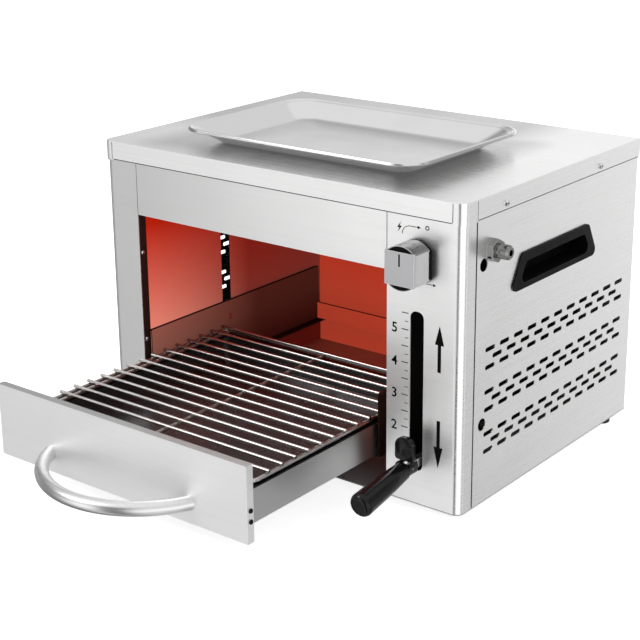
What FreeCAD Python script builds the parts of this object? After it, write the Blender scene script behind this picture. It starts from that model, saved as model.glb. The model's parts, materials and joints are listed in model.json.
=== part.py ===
import FreeCAD, Part
import math
import os
import re
import Sketcher

# Table-top gas infrared steak grill: sheet-steel housing with a ceiling burner, a lift carriage
# that carries the pull-out drawer, and a lever with a release paddle that raises the carriage.
# Millimetres, +Z up. The origin is under the middle of the whole part, on the surface it stands on.

doc = FreeCAD.newDocument("InfraredSteakGrill")
sizeSheet = doc.addObject("Spreadsheet::Sheet", "Sizes")
placeSheet = doc.addObject("Spreadsheet::Sheet", "Places")

# Driving dimensions
sizes = {
    # housing
    "coverWidth": 508, "coverDepth": 374, "overallHeight": 352,
    "sheetGauge": 1.2, "skirtDepth": 21, "skirtGap": 0.3, "seamGap": 0.4,
    "cornerRound": 10, "stripFront": 14.2, "stripSide": 24.4, "stripDrop": 1, "panelTopGap": 0.2,
    "leftColumnWidth": 49.5, "controlPanelWidth": 94, "fasciaHeight": 84,
    "columnReturn": 23.5, "returnFlange": 12, "fasciaLip": 7, "sideSeamGap": 1.2,
    # feet
    "footHeight": 11, "footRadius": 11, "footTopRadius": 9.5, "footBore": 2.2,
    "footSeatRadius": 4.6, "footSeatDepth": 4, "footEdge": 1.5,
    "rearFootInset": 17, "rearFootBack": 27, "frontFootInset": 40, "frontFootBack": 48,
    # screws and rivets
    "screwHead": 3.6, "screwHeadHeight": 2, "screwShank": 2, "screwLength": 7, "screwCrown": 0.8,
    "rivetHead": 3.2, "rivetHeadHeight": 1.4, "rivetShank": 1.6, "rivetCrown": 1.2,
    "coverScrewBack": 77.5, "coverScrewDrop": 15, "coverScrewPitch": 200,
    "rivetHigh": 220, "rivetLow": 111, "rivetBack": 5.5,
    # side vents
    "ventLength": 18.5, "ventHeight": 5, "ventChamfer": 1.5, "ventPitch": 28.3,
    "ventRowPitch": 10, "ventGroupPitch": 47.75, "ventFirstBack": 54.5, "ventTop": 185,
    "ventCount": 11, "rearVentTop": 90,
    # side holes, gas inlet and recessed grips
    "portRadius": 7, "highPortBack": 38, "highPortHeight": 280, "lowPortBack": 41, "lowPortHeight": 103,
    "inletBack": 53.5, "inletHeight": 293, "inletThread": 7.95, "inletThreadLength": 12.5,
    "inletHexAcross": 22, "inletHexLength": 8, "inletNose": 2, "inletBore": 3.5,
    "inletShank": 14, "inletHoleFit": 0.15, "nutThickness": 6,
    "gripBottomHalf": 93, "gripTopHalf": 72, "gripBottom": 235, "gripTop": 275, "gripRound": 7,
    "gripShift": 2, "gripLip": 2, "gripWall": 2, "gripDepth": 25,
    "gripMouthBottomHalf": 77, "gripMouthTopHalf": 63, "gripMouthBottom": 241.5, "gripMouthTop": 265,
    # lever slot and notch rack
    "slotInset": 55.5, "slotWidth": 17, "slotBottom": 50, "slotTop": 229, "slotRound": 7.5,
    "rackInset": 43.5, "rackThickness": 4, "rackDepth": 7, "toothPitch": 9.1, "toothDepth": 3,
    "rackBottom": 78, "rackTeeth": 20, "toothLand": 1,
    # liner, ceiling and burner
    "linerBack": 160, "ceilingHeight": 296, "linerSlotWidth": 16, "linerSlotBack": 152.5, "linerSlotRound": 7,
    "leftSlotBottom": 90, "rightSlotBottom": 46, "linerSlotTop": 277,
    "burnerShift": 0, "tileLength": 131.5, "tileWidth": 91.5, "tileThickness": 13, "tileGap": 1,
    "plenumRim": 9, "plenumHeight": 42, "plenumOverlap": 3, "tileFit": 1.2,
    "retainerWall": 1.6, "retainerFloor": 2.4, "retainerLedge": 4, "guardBars": 5, "guardBarWidth": 3,
    "mixerBore": 9, "mixerWall": 1.5, "mixerLength": 58, "mixerBell": 17, "mixerBellLength": 14,
    "mixerFlange": 18, "jetGap": 6, "jetNozzle": 4, "jetNozzleLength": 8, "jetBlock": 18, "jetTaper": 1.5, "jetStep": 2,
    # valve, stem and knob
    "knobInset": 54, "knobHeight": 284, "stemRadius": 4, "stemFit": 0.05, "stemHole": 7,
    "bracketStand": 17, "bracketWeb": 46, "bracketFoot": 11, "bracketHeight": 26, "bracketBore": 10.5,
    "valveWidth": 32, "valveHeight": 30, "valveDepth": 38, "valveBoss": 10, "valveBossLength": 4, "valveRound": 3,
    "stemDepth": 16, "stemPush": 3.5, "washerRadius": 8, "washerThickness": 1.6, "washerStand": 4.5,
    "knobGap": 4, "skirtRadius": 25, "knobSkirt": 8, "drumRadius": 24, "drumHalfWidth": 18,
    "knobLength": 31, "capWall": 0.8, "facePlateHalf": 18.5, "facePlate": 1.2, "knobBoreEnd": 8,
    "pipeRadius": 4, "pipeNut": 7, "pipeNutLength": 9, "burnerPipeRadius": 3, "pipeBend": 16,
    "pipeStraight": 28, "pipeEnd": 3, "probeBack": 63, "probeX": 62, "probePitch": 24, "probeRadius": 4,
    "probeCollar": 6.5, "probeCollarHeight": 3, "probeUp": 14, "probeDown": 9, "probeTip": 1.2,
    "probeTipLength": 7, "probeNarrow": 1, "probeTipStep": 0.6, "probeFit": 0.2,
    # lift carriage
    "carriageGauge": 1.5, "carriageGap": 4.2, "carriageRightGap": 18.2, "carriageLip": 3,
    "carriageTop": 120, "carriageFront": 9.5, "carriageRear": 150, "runnerWidth": 13.5, "runnerTop": 47.7,
    "runnerGap": 0.3, "rearMemberTop": 70, "rearMemberStand": 3.5,
    "rollerHeight": 100, "rollerSlotGap": 0.3, "rollerWidth": 4.2, "rollerStud": 4, "rollerHead": 10,
    "rollerNeck": 5, "rollerNeckLength": 1.1, "rollerHeadLength": 3,
    "armThickness": 12, "barThickness": 5, "barHeight": 12, "barBottom": 54.5,
    # lever
    "collarRadius": 10, "collarBack": 9.5, "collarLength": 15, "collarSlotLeft": 4, "collarSlotRight": 7.5,
    "gripDroop": 9, "gripLength": 78, "gripRootRadius": 10, "gripEndRadius": 13.5, "gripDrop": 2,
    "gripWaist": 0.45, "gripTaper": 1.2, "gripFlare": 120, "gripEndRound": 6, "pinShort": 1,
    "pinRadius": 2, "pinFit": 0.05, "pinBack": 17.5, "tongueGap": 0.8, "tongueThickness": 2.7,
    "tongueBelow": 3.5, "tongueAbove": 6, "tongueTail": 14, "tongueRise": 30, "toothGap": 0.4,
    "toothHeight": 4.5, "tongueArm": 5, "tongueShare": 0.4, "paddleTrim": 1, "paddleRound": 4,
    "paddleWidth": 23, "paddleHeight": 26, "paddleThickness": 5, "paddleGap": 0.6,
    "paddleDish": 26, "paddleDishDepth": 2.2, "paddleShift": 3,
    # drawer
    "drawerOut": 193, "frontGap": 3, "frontDepth": 9.5, "frontLeft": 229, "frontWidth": 367,
    "frontBottom": 28.5, "frontHeight": 85, "drawerLeft": 196, "drawerBottomGap": 0.3,
    "drawerSideHeight": 37, "drawerFlange": 8, "drawerRear": 143,
    "drawerScrewHigh": 64, "drawerScrewLow": 52, "drawerScrewBack": 5,
    "handleSpan": 207, "handleReach": 66, "handleRadius": 8, "handleHeight": 51, "handleShift": 0,
    "handleScrewDepth": 14, "drawerScrewHead": 1.2, "drawerScrewCrown": 0.4,
    # pan and grate
    "panClear": 2, "panDepth": 28, "panFloorInset": 5, "panWall": 1, "panRimInset": 1,
    "panFront": 8, "panRear": 7, "panFloorRound": 9, "panRound": 14, "panRimRound": 4, "grateSeat": 0.3, "frameRod": 2.5, "crossRod": 2,
    "frameInset": 4.5, "frameFrontBack": 13, "rearRodGap": 4.5, "frameRound": 12,
    "rodOverhang": 3, "firstRod": 159, "rodPitch": 21.2, "rodCount": 15,
    "supportX": 30, "doubleRodGap": 9.5,
    # tray
    "trayWidth": 336, "trayDepth": 229, "trayHeight": 20, "trayShiftX": 1, "trayShiftY": 37,
    "trayRim": 8, "trayRimHeight": 5, "trayBaseInset": 26, "trayWall": 1, "trayRound": 34, "trayBaseRound": 20,
}

# Places that follow from the driving dimensions, in the frame of the housing:
# its middle in X and Y, and Z from the surface it stands on
places = {
    "sideX": "coverWidth/2 - sheetGauge - skirtGap",
    "frontY": "sheetGauge + skirtGap - coverDepth/2",
    "rearY": "coverDepth/2 - sheetGauge - skirtGap",
    "deckZ": "footHeight + sheetGauge",
    "coverUnder": "overallHeight - sheetGauge",
    "panelTop": "coverUnder - panelTopGap",
    "openLeft": "leftColumnWidth - sideX",
    "openRight": "sideX - controlPanelWidth",
    "openMiddle": "(openLeft + openRight)/2",
    "fasciaZ": "overallHeight - fasciaHeight",
    "seamY": "frontY + columnReturn",
    "slotX": "sideX - slotInset",
    "knobX": "sideX - knobInset",
    "inletY": "frontY + inletBack",
    "inletEnd": "sideX + inletHexLength + inletThreadLength + inletNose",
    "linerLeftX": "openLeft - sheetGauge",
    "linerRightX": "openRight + sheetGauge",
    "slotLineY": "frontY + linerSlotBack",
    "burnerX": "openMiddle + burnerShift",
    "burnerY": "(frontY + linerBack)/2",
    "tileFieldX": "2*tileLength + tileGap",
    "tileFieldY": "2*tileWidth + tileGap",
    "ceilingTop": "ceilingHeight + sheetGauge",
    "tileBottom": "ceilingTop - tileThickness",
    "plenumHalfX": "tileFieldX/2 + plenumRim",
    "plenumHalfY": "tileFieldY/2 + plenumRim",
    "mixerZ": "ceilingTop + plenumHeight/2 + 2*sheetGauge",
    "carriageLeftX": "linerLeftX + carriageGap",
    "carriageRightX": "linerRightX - carriageRightGap",
    "drawerBottom": "runnerTop + drawerBottomGap",
    "drawerTop": "drawerBottom + drawerSideHeight",
    "barLeft": "slotX - barThickness/2",
    "barRight": "slotX + barThickness/2",
    "barMiddle": "barBottom + barHeight/2",
    "pinY": "frontY - pinBack",
    "closedFaceY": "frontY - frontGap - frontDepth",
    "frontRight": "frontWidth - frontLeft",
    "drawerRightX": "frontRight - sheetGauge",
    "rimTop": "drawerTop + panWall",
    "frameZ": "rimTop + grateSeat + frameRod",
    "crossZ": "frameZ + frameRod + crossRod",
    "frameRear": "rodPitch*(rodCount - 1) - firstRod + rearRodGap",
    "handleX": "(frontRight - frontLeft)/2 + handleShift",
    "handleArc": "(handleSpan*handleSpan/4 + handleReach*handleReach)/(2*handleReach)",
    "panelBack": "frontY + sheetGauge",
    "webY": "frontY + sheetGauge + bracketStand",
    "rackX": "sideX - rackInset",
    "centreX": "-(inletEnd - coverWidth/2 - screwHeadHeight)/2",
    "centreY": "-(closedFaceY - drawerOut - handleReach - handleRadius + coverDepth/2)/2",
}


def link(text):
    # each name in a formula becomes a reference to its cell
    def reference(match):
        name = match.group(1)
        if name in sizes:
            return "Sizes." + name
        if name in places:
            return "Places." + name
        return name
    return re.sub(r"\b([A-Za-z]\w*)\b", reference, str(text))


def val(text):
    return float(sizeSheet.evalExpression(link(text)))


def fillSheets():
    for row, (name, value) in enumerate(sizes.items(), 1):
        sizeSheet.set(f"A{row}", name)
        sizeSheet.set(f"B{row}", str(value))
        sizeSheet.setAlias(f"B{row}", name)
    doc.recompute()
    for row, (name, formula) in enumerate(places.items(), 1):
        placeSheet.set(f"A{row}", name)
        placeSheet.setAlias(f"B{row}", name)
        placeSheet.set(f"B{row}", "=" + link(formula).replace("Places.", ""))
    doc.recompute()


subParts = []


def newBody(name, x="centreX", y="centreY", z="0"):
    # a sub-part whose own origin stands under the middle of the housing unless told otherwise
    body = doc.addObject("PartDesign::Body", name)
    body.Label = name
    for axis, text in zip("xyz", (x, y, z)):
        body.setExpression(f".Placement.Base.{axis}", link(text))
    subParts.append(body)
    return body


def drawerBody(name):
    # drawer parts are drawn with the drawer shut and placed where it is pulled out
    return newBody(name, y="centreY - drawerOut")


def datum(body, role):
    return next(item for item in body.Origin.OriginFeatures if item.Role == role)


def sketchOn(body, plane, at="0", shift=("0", "0")):
    # a sketch on a plane of the body at a distance along X, Y or Z
    sketch = body.newObject("Sketcher::SketchObject", body.Name + "_sketch")
    sketch.AttachmentSupport = [(datum(body, plane), "")]
    sketch.MapMode = "FlatFace"
    depth = f"-({at})" if plane == "XZ_Plane" else at
    for axis, text in zip("xyz", (shift[0], shift[1], depth)):
        if text != "0":
            sketch.setExpression(f"AttachmentOffset.Base.{axis}", link(text))
    return sketch


def tie(sketch, kind, refs, text):
    index = sketch.addConstraint(Sketcher.Constraint(kind, *refs, val(text)))
    sketch.setExpression(f"Constraints[{index}]", link(text))


def tiePoint(sketch, geometry, position, x, y):
    tie(sketch, "DistanceX", (-1, 1, geometry, position), x)
    tie(sketch, "DistanceY", (-1, 1, geometry, position), y)


def trace(sketch, corners, closed=True):
    # straight lines through the corners; a third value rounds a corner by that radius
    count = len(corners)
    points = [FreeCAD.Vector(val(c[0]), val(c[1]), 0) for c in corners]
    ends = []
    for i, corner in enumerate(corners):
        if len(corner) < 3:
            ends.append((points[i], points[i], None))
            continue
        before = (points[i - 1] - points[i]).normalize()
        after = (points[(i + 1) % count] - points[i]).normalize()
        half = before.getAngle(after) / 2
        radius = val(corner[2])
        reach = radius / math.tan(half)
        centre = points[i] + (before + after).normalize() * (radius / math.sin(half))
        ends.append((points[i] + before * reach, points[i] + after * reach, centre))
    spans = count if closed else count - 1
    lines = []
    for i in range(spans):
        segment = Part.LineSegment(ends[i][1], ends[(i + 1) % count][0])
        lines.append(sketch.addGeometry(segment, False))
    for i, corner in enumerate(corners):
        if not closed and i in (0, count - 1):
            line, position = (lines[0], 1) if i == 0 else (lines[-1], 2)
            tiePoint(sketch, line, position, corner[0], corner[1])
            continue
        lineIn, lineOut = lines[i - 1], lines[i]
        if len(corner) < 3:
            sketch.addConstraint(Sketcher.Constraint("Coincident", lineIn, 2, lineOut, 1))
            tiePoint(sketch, lineOut, 1, corner[0], corner[1])
            continue
        roundCorner(sketch, corner, points[i], ends[i], lineIn, lineOut)
    return lines


def roundCorner(sketch, corner, point, end, lineIn, lineOut):
    start, finish, centre = end
    turn = (start - centre).cross(finish - centre).z
    first, last = (start, finish) if turn > 0 else (finish, start)
    angles = [math.atan2(p.y - centre.y, p.x - centre.x) for p in (first, last)]
    if angles[1] < angles[0]:
        angles[1] += 2 * math.pi
    circle = Part.Circle(centre, FreeCAD.Vector(0, 0, 1), val(corner[2]))
    arc = sketch.addGeometry(Part.ArcOfCircle(circle, *angles), False)
    arcIn, arcOut = (1, 2) if turn > 0 else (2, 1)
    apex = sketch.addGeometry(Part.Point(point), True)
    sketch.addConstraint(Sketcher.Constraint("Tangent", lineIn, 2, arc, arcIn))
    sketch.addConstraint(Sketcher.Constraint("Tangent", lineOut, 1, arc, arcOut))
    sketch.addConstraint(Sketcher.Constraint("PointOnObject", apex, 1, lineIn))
    sketch.addConstraint(Sketcher.Constraint("PointOnObject", apex, 1, lineOut))
    tie(sketch, "Radius", (arc,), corner[2])
    tiePoint(sketch, apex, 1, corner[0], corner[1])


def rectangle(sketch, left, right, low, high, radius=None):
    corners = [(left, low), (right, low), (right, high), (left, high)]
    if radius:
        corners = [corner + (radius,) for corner in corners]
    trace(sketch, corners)


def circle(sketch, x, y, radius):
    ring = Part.Circle(FreeCAD.Vector(val(x), val(y), 0), FreeCAD.Vector(0, 0, 1), val(radius))
    index = sketch.addGeometry(ring, False)
    tie(sketch, "Radius", (index,), radius)
    tiePoint(sketch, index, 3, x, y)


def folded(sketch, path, gauge, side=1):
    # the section of a folded sheet: its outer line and the same line set in by the gauge,
    # to the left of the direction of travel (side 1) or to the right (side -1)
    count = len(path)
    points = [FreeCAD.Vector(val(p[0]), val(p[1]), 0) for p in path]
    steps = [(points[i + 1] - points[i]).normalize() for i in range(count - 1)]
    normals = [(-round(step.y) * side, round(step.x) * side) for step in steps]
    inner = []
    for i, corner in enumerate(path):
        around = [normals[k] for k in (i - 1, i) if 0 <= k < count - 1]
        moveX = sum(normal[0] for normal in around)
        moveY = sum(normal[1] for normal in around)
        shifted = (f"{corner[0]} + ({moveX})*{gauge}", f"{corner[1]} + ({moveY})*{gauge}")
        if len(corner) > 2:
            turn = steps[i - 1].cross(steps[i]).z * side
            sign = "-" if turn > 0 else "+"
            shifted += (f"{corner[2]} {sign} {gauge}",)
        inner.append(shifted)
    trace(sketch, list(path) + inner[::-1])


def pad(body, sketch, length, reverse=False, taper=None):
    feature = body.newObject("PartDesign::Pad", body.Name + "_pad")
    feature.Profile = sketch
    feature.setExpression("Length", link(length))
    feature.Reversed = reverse
    if taper:
        feature.setExpression("TaperAngle", link(taper))
    return feature


def pocket(body, sketch, depth, reverse=False):
    feature = body.newObject("PartDesign::Pocket", body.Name + "_pocket")
    feature.Profile = sketch
    feature.setExpression("Length", link(depth))
    feature.Reversed = reverse
    return feature


def turned(body, axis, centre, profile, groove=False):
    # a shape turned about an axis through centre; the profile is (along the axis, radius)
    x, y, z = centre
    plane, at, shift = {
        "X": ("XY_Plane", z, (x, y)), "Y": ("XY_Plane", z, (x, y)), "Z": ("XZ_Plane", y, (x, z)),
    }[axis]
    sketch = sketchOn(body, plane, at, shift)
    swap = axis != "X"
    trace(sketch, [(p[1], p[0]) + tuple(p[2:]) if swap else p for p in profile])
    kind = "PartDesign::Groove" if groove else "PartDesign::Revolution"
    feature = body.newObject(kind, body.Name + "_turned")
    feature.Profile = sketch
    feature.ReferenceAxis = (sketch, ["V_Axis" if swap else "H_Axis"])
    feature.Angle = 360
    return feature


def mirrored(body, features, plane):
    doc.recompute()
    mirror = body.newObject("PartDesign::Mirrored", body.Name + "_mirror")
    mirror.Originals = features
    mirror.MirrorPlane = (datum(body, plane), [""])
    body.Tip = mirror
    return mirror


def patterned(body, features, rows):
    # rows of copies: each row is (axis, pitch, count), and the rows multiply
    doc.recompute()
    multi = body.newObject("PartDesign::MultiTransform", body.Name + "_pattern")
    multi.Originals = features
    steps = []
    for axis, pitch, count in rows:
        step = doc.addObject("PartDesign::LinearPattern", body.Name + "_row")
        step.Direction = (datum(body, axis), [""])
        step.setExpression("Length", link(f"({pitch})*({count} - 1)"))
        step.Reversed = False
        step.setExpression("Occurrences", link(count))
        steps.append(step)
    multi.Transformations = steps
    body.Tip = multi
    return multi


# Housing shell

def basePlate():
    body = newBody("base_plate")
    sketch = sketchOn(body, "XY_Plane", "footHeight")
    trace(sketch, [("-sideX", "frontY", "cornerRound"), ("sideX", "frontY", "cornerRound"),
                   ("sideX", "rearY"), ("-sideX", "rearY")])
    pad(body, sketch, "sheetGauge")
    holes = sketchOn(body, "XY_Plane", "deckZ")
    for x, y in footPlaces:
        circle(holes, x, y, "footBore")
        circle(holes, f"-({x})", y, "footBore")
    pocket(body, holes, "2*sheetGauge")


footPlaces = [("sideX - rearFootInset", "rearY - rearFootBack"),
              ("sideX - frontFootInset", "frontY + frontFootBack")]


def feet():
    body = newBody("feet")
    profile = [("0", "footSeatRadius"), ("0", "footRadius", "footEdge"), ("footHeight", "footTopRadius"),
               ("footHeight", "footBore"), ("footSeatDepth", "footBore"), ("footSeatDepth", "footSeatRadius")]
    mirrored(body, [turned(body, "Z", (x, y, "0"), profile) for x, y in footPlaces], "YZ_Plane")


def footScrews():
    body = newBody("foot_screws")
    seat = "footSeatDepth"
    profile = [(f"{seat} - screwHeadHeight", "0"), (f"{seat} - screwHeadHeight", "screwHead"),
               (seat, "screwHead"), (seat, "screwShank"), ("deckZ", "screwShank"),
               ("deckZ", "screwHead"), ("deckZ + screwHeadHeight", "screwHead"),
               ("deckZ + screwHeadHeight", "0")]
    mirrored(body, [turned(body, "Z", (x, y, "0"), profile) for x, y in footPlaces], "YZ_Plane")


def ventColumn(body, plane, at, first, heights, count, reverse):
    # slots with clipped ends, one above another at the given heights, repeated along the panel
    sketch = sketchOn(body, plane, at)
    left, right, clip = first, f"{first} + ventLength", "ventChamfer"
    for height in heights:
        low, high = f"{height} - ventHeight/2", f"{height} + ventHeight/2"
        trace(sketch, [(f"{left} + {clip}", low), (f"{right} - {clip}", low), (right, f"{low} + {clip}"),
                       (right, f"{high} - {clip}"), (f"{right} - {clip}", high), (f"{left} + {clip}", high),
                       (left, f"{high} - {clip}"), (left, f"{low} + {clip}")])
    column = pocket(body, sketch, "2*sheetGauge", reverse)
    axis = "X_Axis" if plane == "XZ_Plane" else "Y_Axis"
    patterned(body, [column], [(axis, "ventPitch", count)])


def sidePanel(name, hand):
    body = newBody(name)
    sketch = sketchOn(body, "XY_Plane", "deckZ")
    side, start = f"({hand})*sideX", "seamY + sideSeamGap"
    inward = f"({hand})*(sideX - returnFlange)"
    folded(sketch, [(inward, start), (side, start), (side, "rearY"), (inward, "rearY")], "sheetGauge", hand)
    pad(body, sketch, "panelTop - deckZ")
    reverse = hand < 0
    # opening behind the recessed grip
    hole = sketchOn(body, "YZ_Plane", side)
    gripOutline(hole, "gripMouthBottomHalf + gripWall", "gripMouthTopHalf + gripWall",
                "gripMouthBottom - gripWall", "gripMouthTop + gripWall")
    pocket(body, hole, "2*sheetGauge", reverse)
    screws = sketchOn(body, "YZ_Plane", side)
    for k in range(2):
        circle(screws, f"frontY + coverScrewBack + {k}*coverScrewPitch", "overallHeight - coverScrewDrop",
               "screwShank")
    pocket(body, screws, "2*sheetGauge", reverse)
    if hand > 0:
        ports = sketchOn(body, "YZ_Plane", side)
        circle(ports, "frontY + highPortBack", "highPortHeight", "portRadius")
        circle(ports, "frontY + lowPortBack", "lowPortHeight", "portRadius")
        circle(ports, "inletY", "inletHeight", "inletThread + inletHoleFit")
        pocket(body, ports, "2*sheetGauge", reverse)
    # three groups of three vent rows, the middle row of each half a pitch along
    start = "frontY + ventFirstBack - ventLength/2"
    groups = [f"ventTop - {k}*ventGroupPitch" for k in range(3)]
    outer = groups + [f"{top} - 2*ventRowPitch" for top in groups]
    ventColumn(body, "YZ_Plane", side, start, outer, "ventCount", reverse)
    middle = [f"{top} - ventRowPitch" for top in groups]
    ventColumn(body, "YZ_Plane", side, f"{start} + ventPitch/2", middle, "ventCount - 1", reverse)


def gripOutline(sketch, bottomHalf, topHalf, bottom, top):
    # a trapezoid standing on its long side, with rounded corners
    trace(sketch, [(f"-gripShift - ({bottomHalf})", bottom, "gripRound"),
                   (f"-gripShift + ({bottomHalf})", bottom, "gripRound"),
                   (f"-gripShift + ({topHalf})", top, "gripRound"),
                   (f"-gripShift - ({topHalf})", top, "gripRound")])


def gripCup(name, hand):
    # a moulded recessed grip: a flange on the outside of the panel and a closed cup behind it
    body = newBody(name)
    side = f"({hand})*sideX"
    flange = sketchOn(body, "YZ_Plane", side)
    gripOutline(flange, "gripBottomHalf", "gripTopHalf", "gripBottom", "gripTop")
    pad(body, flange, "gripLip", hand < 0)
    cup = sketchOn(body, "YZ_Plane", side)
    gripOutline(cup, "gripMouthBottomHalf + gripWall", "gripMouthTopHalf + gripWall",
                "gripMouthBottom - gripWall", "gripMouthTop + gripWall")
    pad(body, cup, "gripDepth", hand > 0)
    mouth = sketchOn(body, "YZ_Plane", f"({hand})*(sideX + gripLip)")
    gripOutline(mouth, "gripMouthBottomHalf", "gripMouthTopHalf", "gripMouthBottom", "gripMouthTop")
    pocket(body, mouth, "gripLip + gripDepth - gripWall", hand < 0)


def rearPanel():
    body = newBody("rear_panel")
    sketch = sketchOn(body, "XZ_Plane", "rearY - sheetGauge")
    inside = "sideX - sheetGauge"
    rectangle(sketch, f"-({inside})", inside, "deckZ", "panelTop")
    pad(body, sketch, "sheetGauge")
    ventColumn(body, "XZ_Plane", "rearY", "-(ventCount - 1)/2*ventPitch - ventLength/2",
               ["rearVentTop", "rearVentTop - 2*ventRowPitch"], "ventCount", True)


def topCover():
    body = newBody("top_cover")
    halfX, halfY = "coverWidth/2", "coverDepth/2"
    sheet = sketchOn(body, "XY_Plane", "coverUnder")
    trace(sheet, [(f"-{halfX}", f"-{halfY}", "cornerRound"), (halfX, f"-{halfY}", "cornerRound"),
                  (halfX, halfY), (f"-{halfX}", halfY)])
    pad(body, sheet, "sheetGauge")
    skirt = sketchOn(body, "XY_Plane", "coverUnder")
    start = f"-{halfY} + stripSide"
    folded(skirt, [(f"-{halfX}", start), (f"-{halfX}", halfY), (halfX, halfY), (halfX, start)],
           "sheetGauge", -1)
    pad(body, skirt, "skirtDepth - sheetGauge", True)
    front = sketchOn(body, "XY_Plane", "coverUnder")
    reach = f"{halfX} - stripFront"
    rectangle(front, f"-({reach})", reach, f"-{halfY}", f"-{halfY} + sheetGauge")
    pad(body, front, "skirtDepth - sheetGauge", True)
    for side, reverse in (("coverWidth/2", False), ("-coverWidth/2", True)):
        holes = sketchOn(body, "YZ_Plane", side)
        for k in range(2):
            circle(holes, f"frontY + coverScrewBack + {k}*coverScrewPitch",
                   "overallHeight - coverScrewDrop", "screwShank")
        pocket(body, holes, "2*sheetGauge", reverse)


def cornerStrips():
    # the rounded strips that close the cover's front corners
    body = newBody("cover_corner_strips")
    halfX, halfY = "coverWidth/2", "coverDepth/2"
    sketch = sketchOn(body, "XY_Plane", "coverUnder - skirtDepth - stripDrop")
    folded(sketch, [(f"{halfX} - stripFront + seamGap", f"-{halfY}"), (halfX, f"-{halfY}", "cornerRound"),
                    (halfX, f"-{halfY} + stripSide - seamGap")], "sheetGauge", 1)
    strip = pad(body, sketch, "skirtDepth + stripDrop")
    mirrored(body, [strip], "YZ_Plane")


def coverScrews():
    body = newBody("cover_screws")
    out = "coverWidth/2"
    profile = [(f"{out} + screwHeadHeight", "0"), (f"{out} + screwHeadHeight", "screwHead - screwCrown"),
               (out, "screwHead"), (out, "screwShank"), (f"{out} - screwLength", "screwShank"),
               (f"{out} - screwLength", "0")]
    screws = []
    for k in range(2):
        place = ("0", f"frontY + coverScrewBack + {k}*coverScrewPitch", "overallHeight - coverScrewDrop")
        screws.append(turned(body, "X", place, profile))
    mirrored(body, screws, "YZ_Plane")


def leftColumn():
    body = newBody("left_front_column")
    sketch = sketchOn(body, "XY_Plane", "deckZ")
    folded(sketch, [("-sideX", "seamY"), ("-sideX", "frontY", "cornerRound"), ("openLeft", "frontY"),
                    ("openLeft", "frontY + returnFlange")], "sheetGauge", 1)
    pad(body, sketch, "panelTop - deckZ")
    holes = sketchOn(body, "YZ_Plane", "openLeft")
    for z in ("rivetHigh", "rivetLow"):
        circle(holes, "frontY + rivetBack", z, "rivetShank")
    pocket(body, holes, "2*sheetGauge")


def columnRivets():
    body = newBody("column_rivets")
    back = "linerLeftX - sheetGauge"
    profile = [("openLeft + rivetHeadHeight", "0"), ("openLeft + rivetHeadHeight", "rivetHead - rivetCrown"),
               ("openLeft", "rivetHead"), ("openLeft", "rivetShank"), (back, "rivetShank"),
               (back, "rivetHead"), (f"{back} - rivetHeadHeight", "rivetHead"), (f"{back} - rivetHeadHeight", "0")]
    for z in ("rivetHigh", "rivetLow"):
        turned(body, "X", ("0", "frontY + rivetBack", z), profile)
        doc.recompute()


def frontFascia():
    body = newBody("front_fascia")
    sketch = sketchOn(body, "YZ_Plane", "openLeft + seamGap")
    folded(sketch, [("frontY + fasciaLip", "fasciaZ"), ("frontY", "fasciaZ"), ("frontY", "panelTop"),
                    ("frontY + returnFlange", "panelTop")], "sheetGauge", -1)
    pad(body, sketch, "openRight - openLeft - 2*seamGap")


def controlPanel():
    body = newBody("control_panel")
    sketch = sketchOn(body, "XY_Plane", "deckZ")
    folded(sketch, [("sideX", "seamY"), ("sideX", "frontY", "cornerRound"), ("openRight", "frontY"),
                    ("openRight", "frontY + returnFlange")], "sheetGauge", -1)
    pad(body, sketch, "panelTop - deckZ")
    slot = sketchOn(body, "XZ_Plane", "frontY")
    rectangle(slot, "slotX - slotWidth/2", "slotX + slotWidth/2", "slotBottom", "slotTop", "slotRound")
    circle(slot, "knobX", "knobHeight", "stemHole")
    pocket(body, slot, "2*sheetGauge")


# Fire box

def linerWall(name, x, slotBottom):
    body = newBody(name)
    sketch = sketchOn(body, "YZ_Plane", x)
    rectangle(sketch, "frontY + 2*sheetGauge", "linerBack", "deckZ", "ceilingHeight")
    pad(body, sketch, "sheetGauge")
    slot = sketchOn(body, "YZ_Plane", x)
    rectangle(slot, "slotLineY - linerSlotWidth/2", "slotLineY + linerSlotWidth/2", slotBottom,
              "linerSlotTop", "linerSlotRound")
    pocket(body, slot, "2*sheetGauge", True)
    if name == "liner_left":
        holes = sketchOn(body, "YZ_Plane", x)
        for z in ("rivetHigh", "rivetLow"):
            circle(holes, "frontY + rivetBack", z, "rivetShank")
        pocket(body, holes, "2*sheetGauge", True)


def linerRear():
    body = newBody("liner_rear")
    sketch = sketchOn(body, "XZ_Plane", "linerBack")
    rectangle(sketch, "linerLeftX - sheetGauge", "linerRightX + sheetGauge", "deckZ", "ceilingHeight")
    pad(body, sketch, "sheetGauge", True)


def ceilingPlate():
    body = newBody("ceiling_plate")
    sketch = sketchOn(body, "XY_Plane", "ceilingHeight")
    # narrower in front, between the returns of the column and the control panel
    notch = "frontY + returnFlange + seamGap"
    left, right = "openLeft + seamGap", "openRight - seamGap"
    trace(sketch, [(left, "panelBack"), (right, "panelBack"), (right, notch),
                   ("linerRightX + sheetGauge", notch), ("linerRightX + sheetGauge", "linerBack + sheetGauge"),
                   ("linerLeftX - sheetGauge", "linerBack + sheetGauge"), ("linerLeftX - sheetGauge", notch),
                   (left, notch)])
    window = "tileFit"
    rectangle(sketch, f"burnerX - tileFieldX/2 - {window}", f"burnerX + tileFieldX/2 + {window}",
              f"burnerY - tileFieldY/2 - {window}", f"burnerY + tileFieldY/2 + {window}")
    for k in range(2):
        circle(sketch, f"probeX + {k}*probePitch", "frontY + probeBack", "probeRadius + probeFit")
    pad(body, sketch, "sheetGauge")


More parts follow.
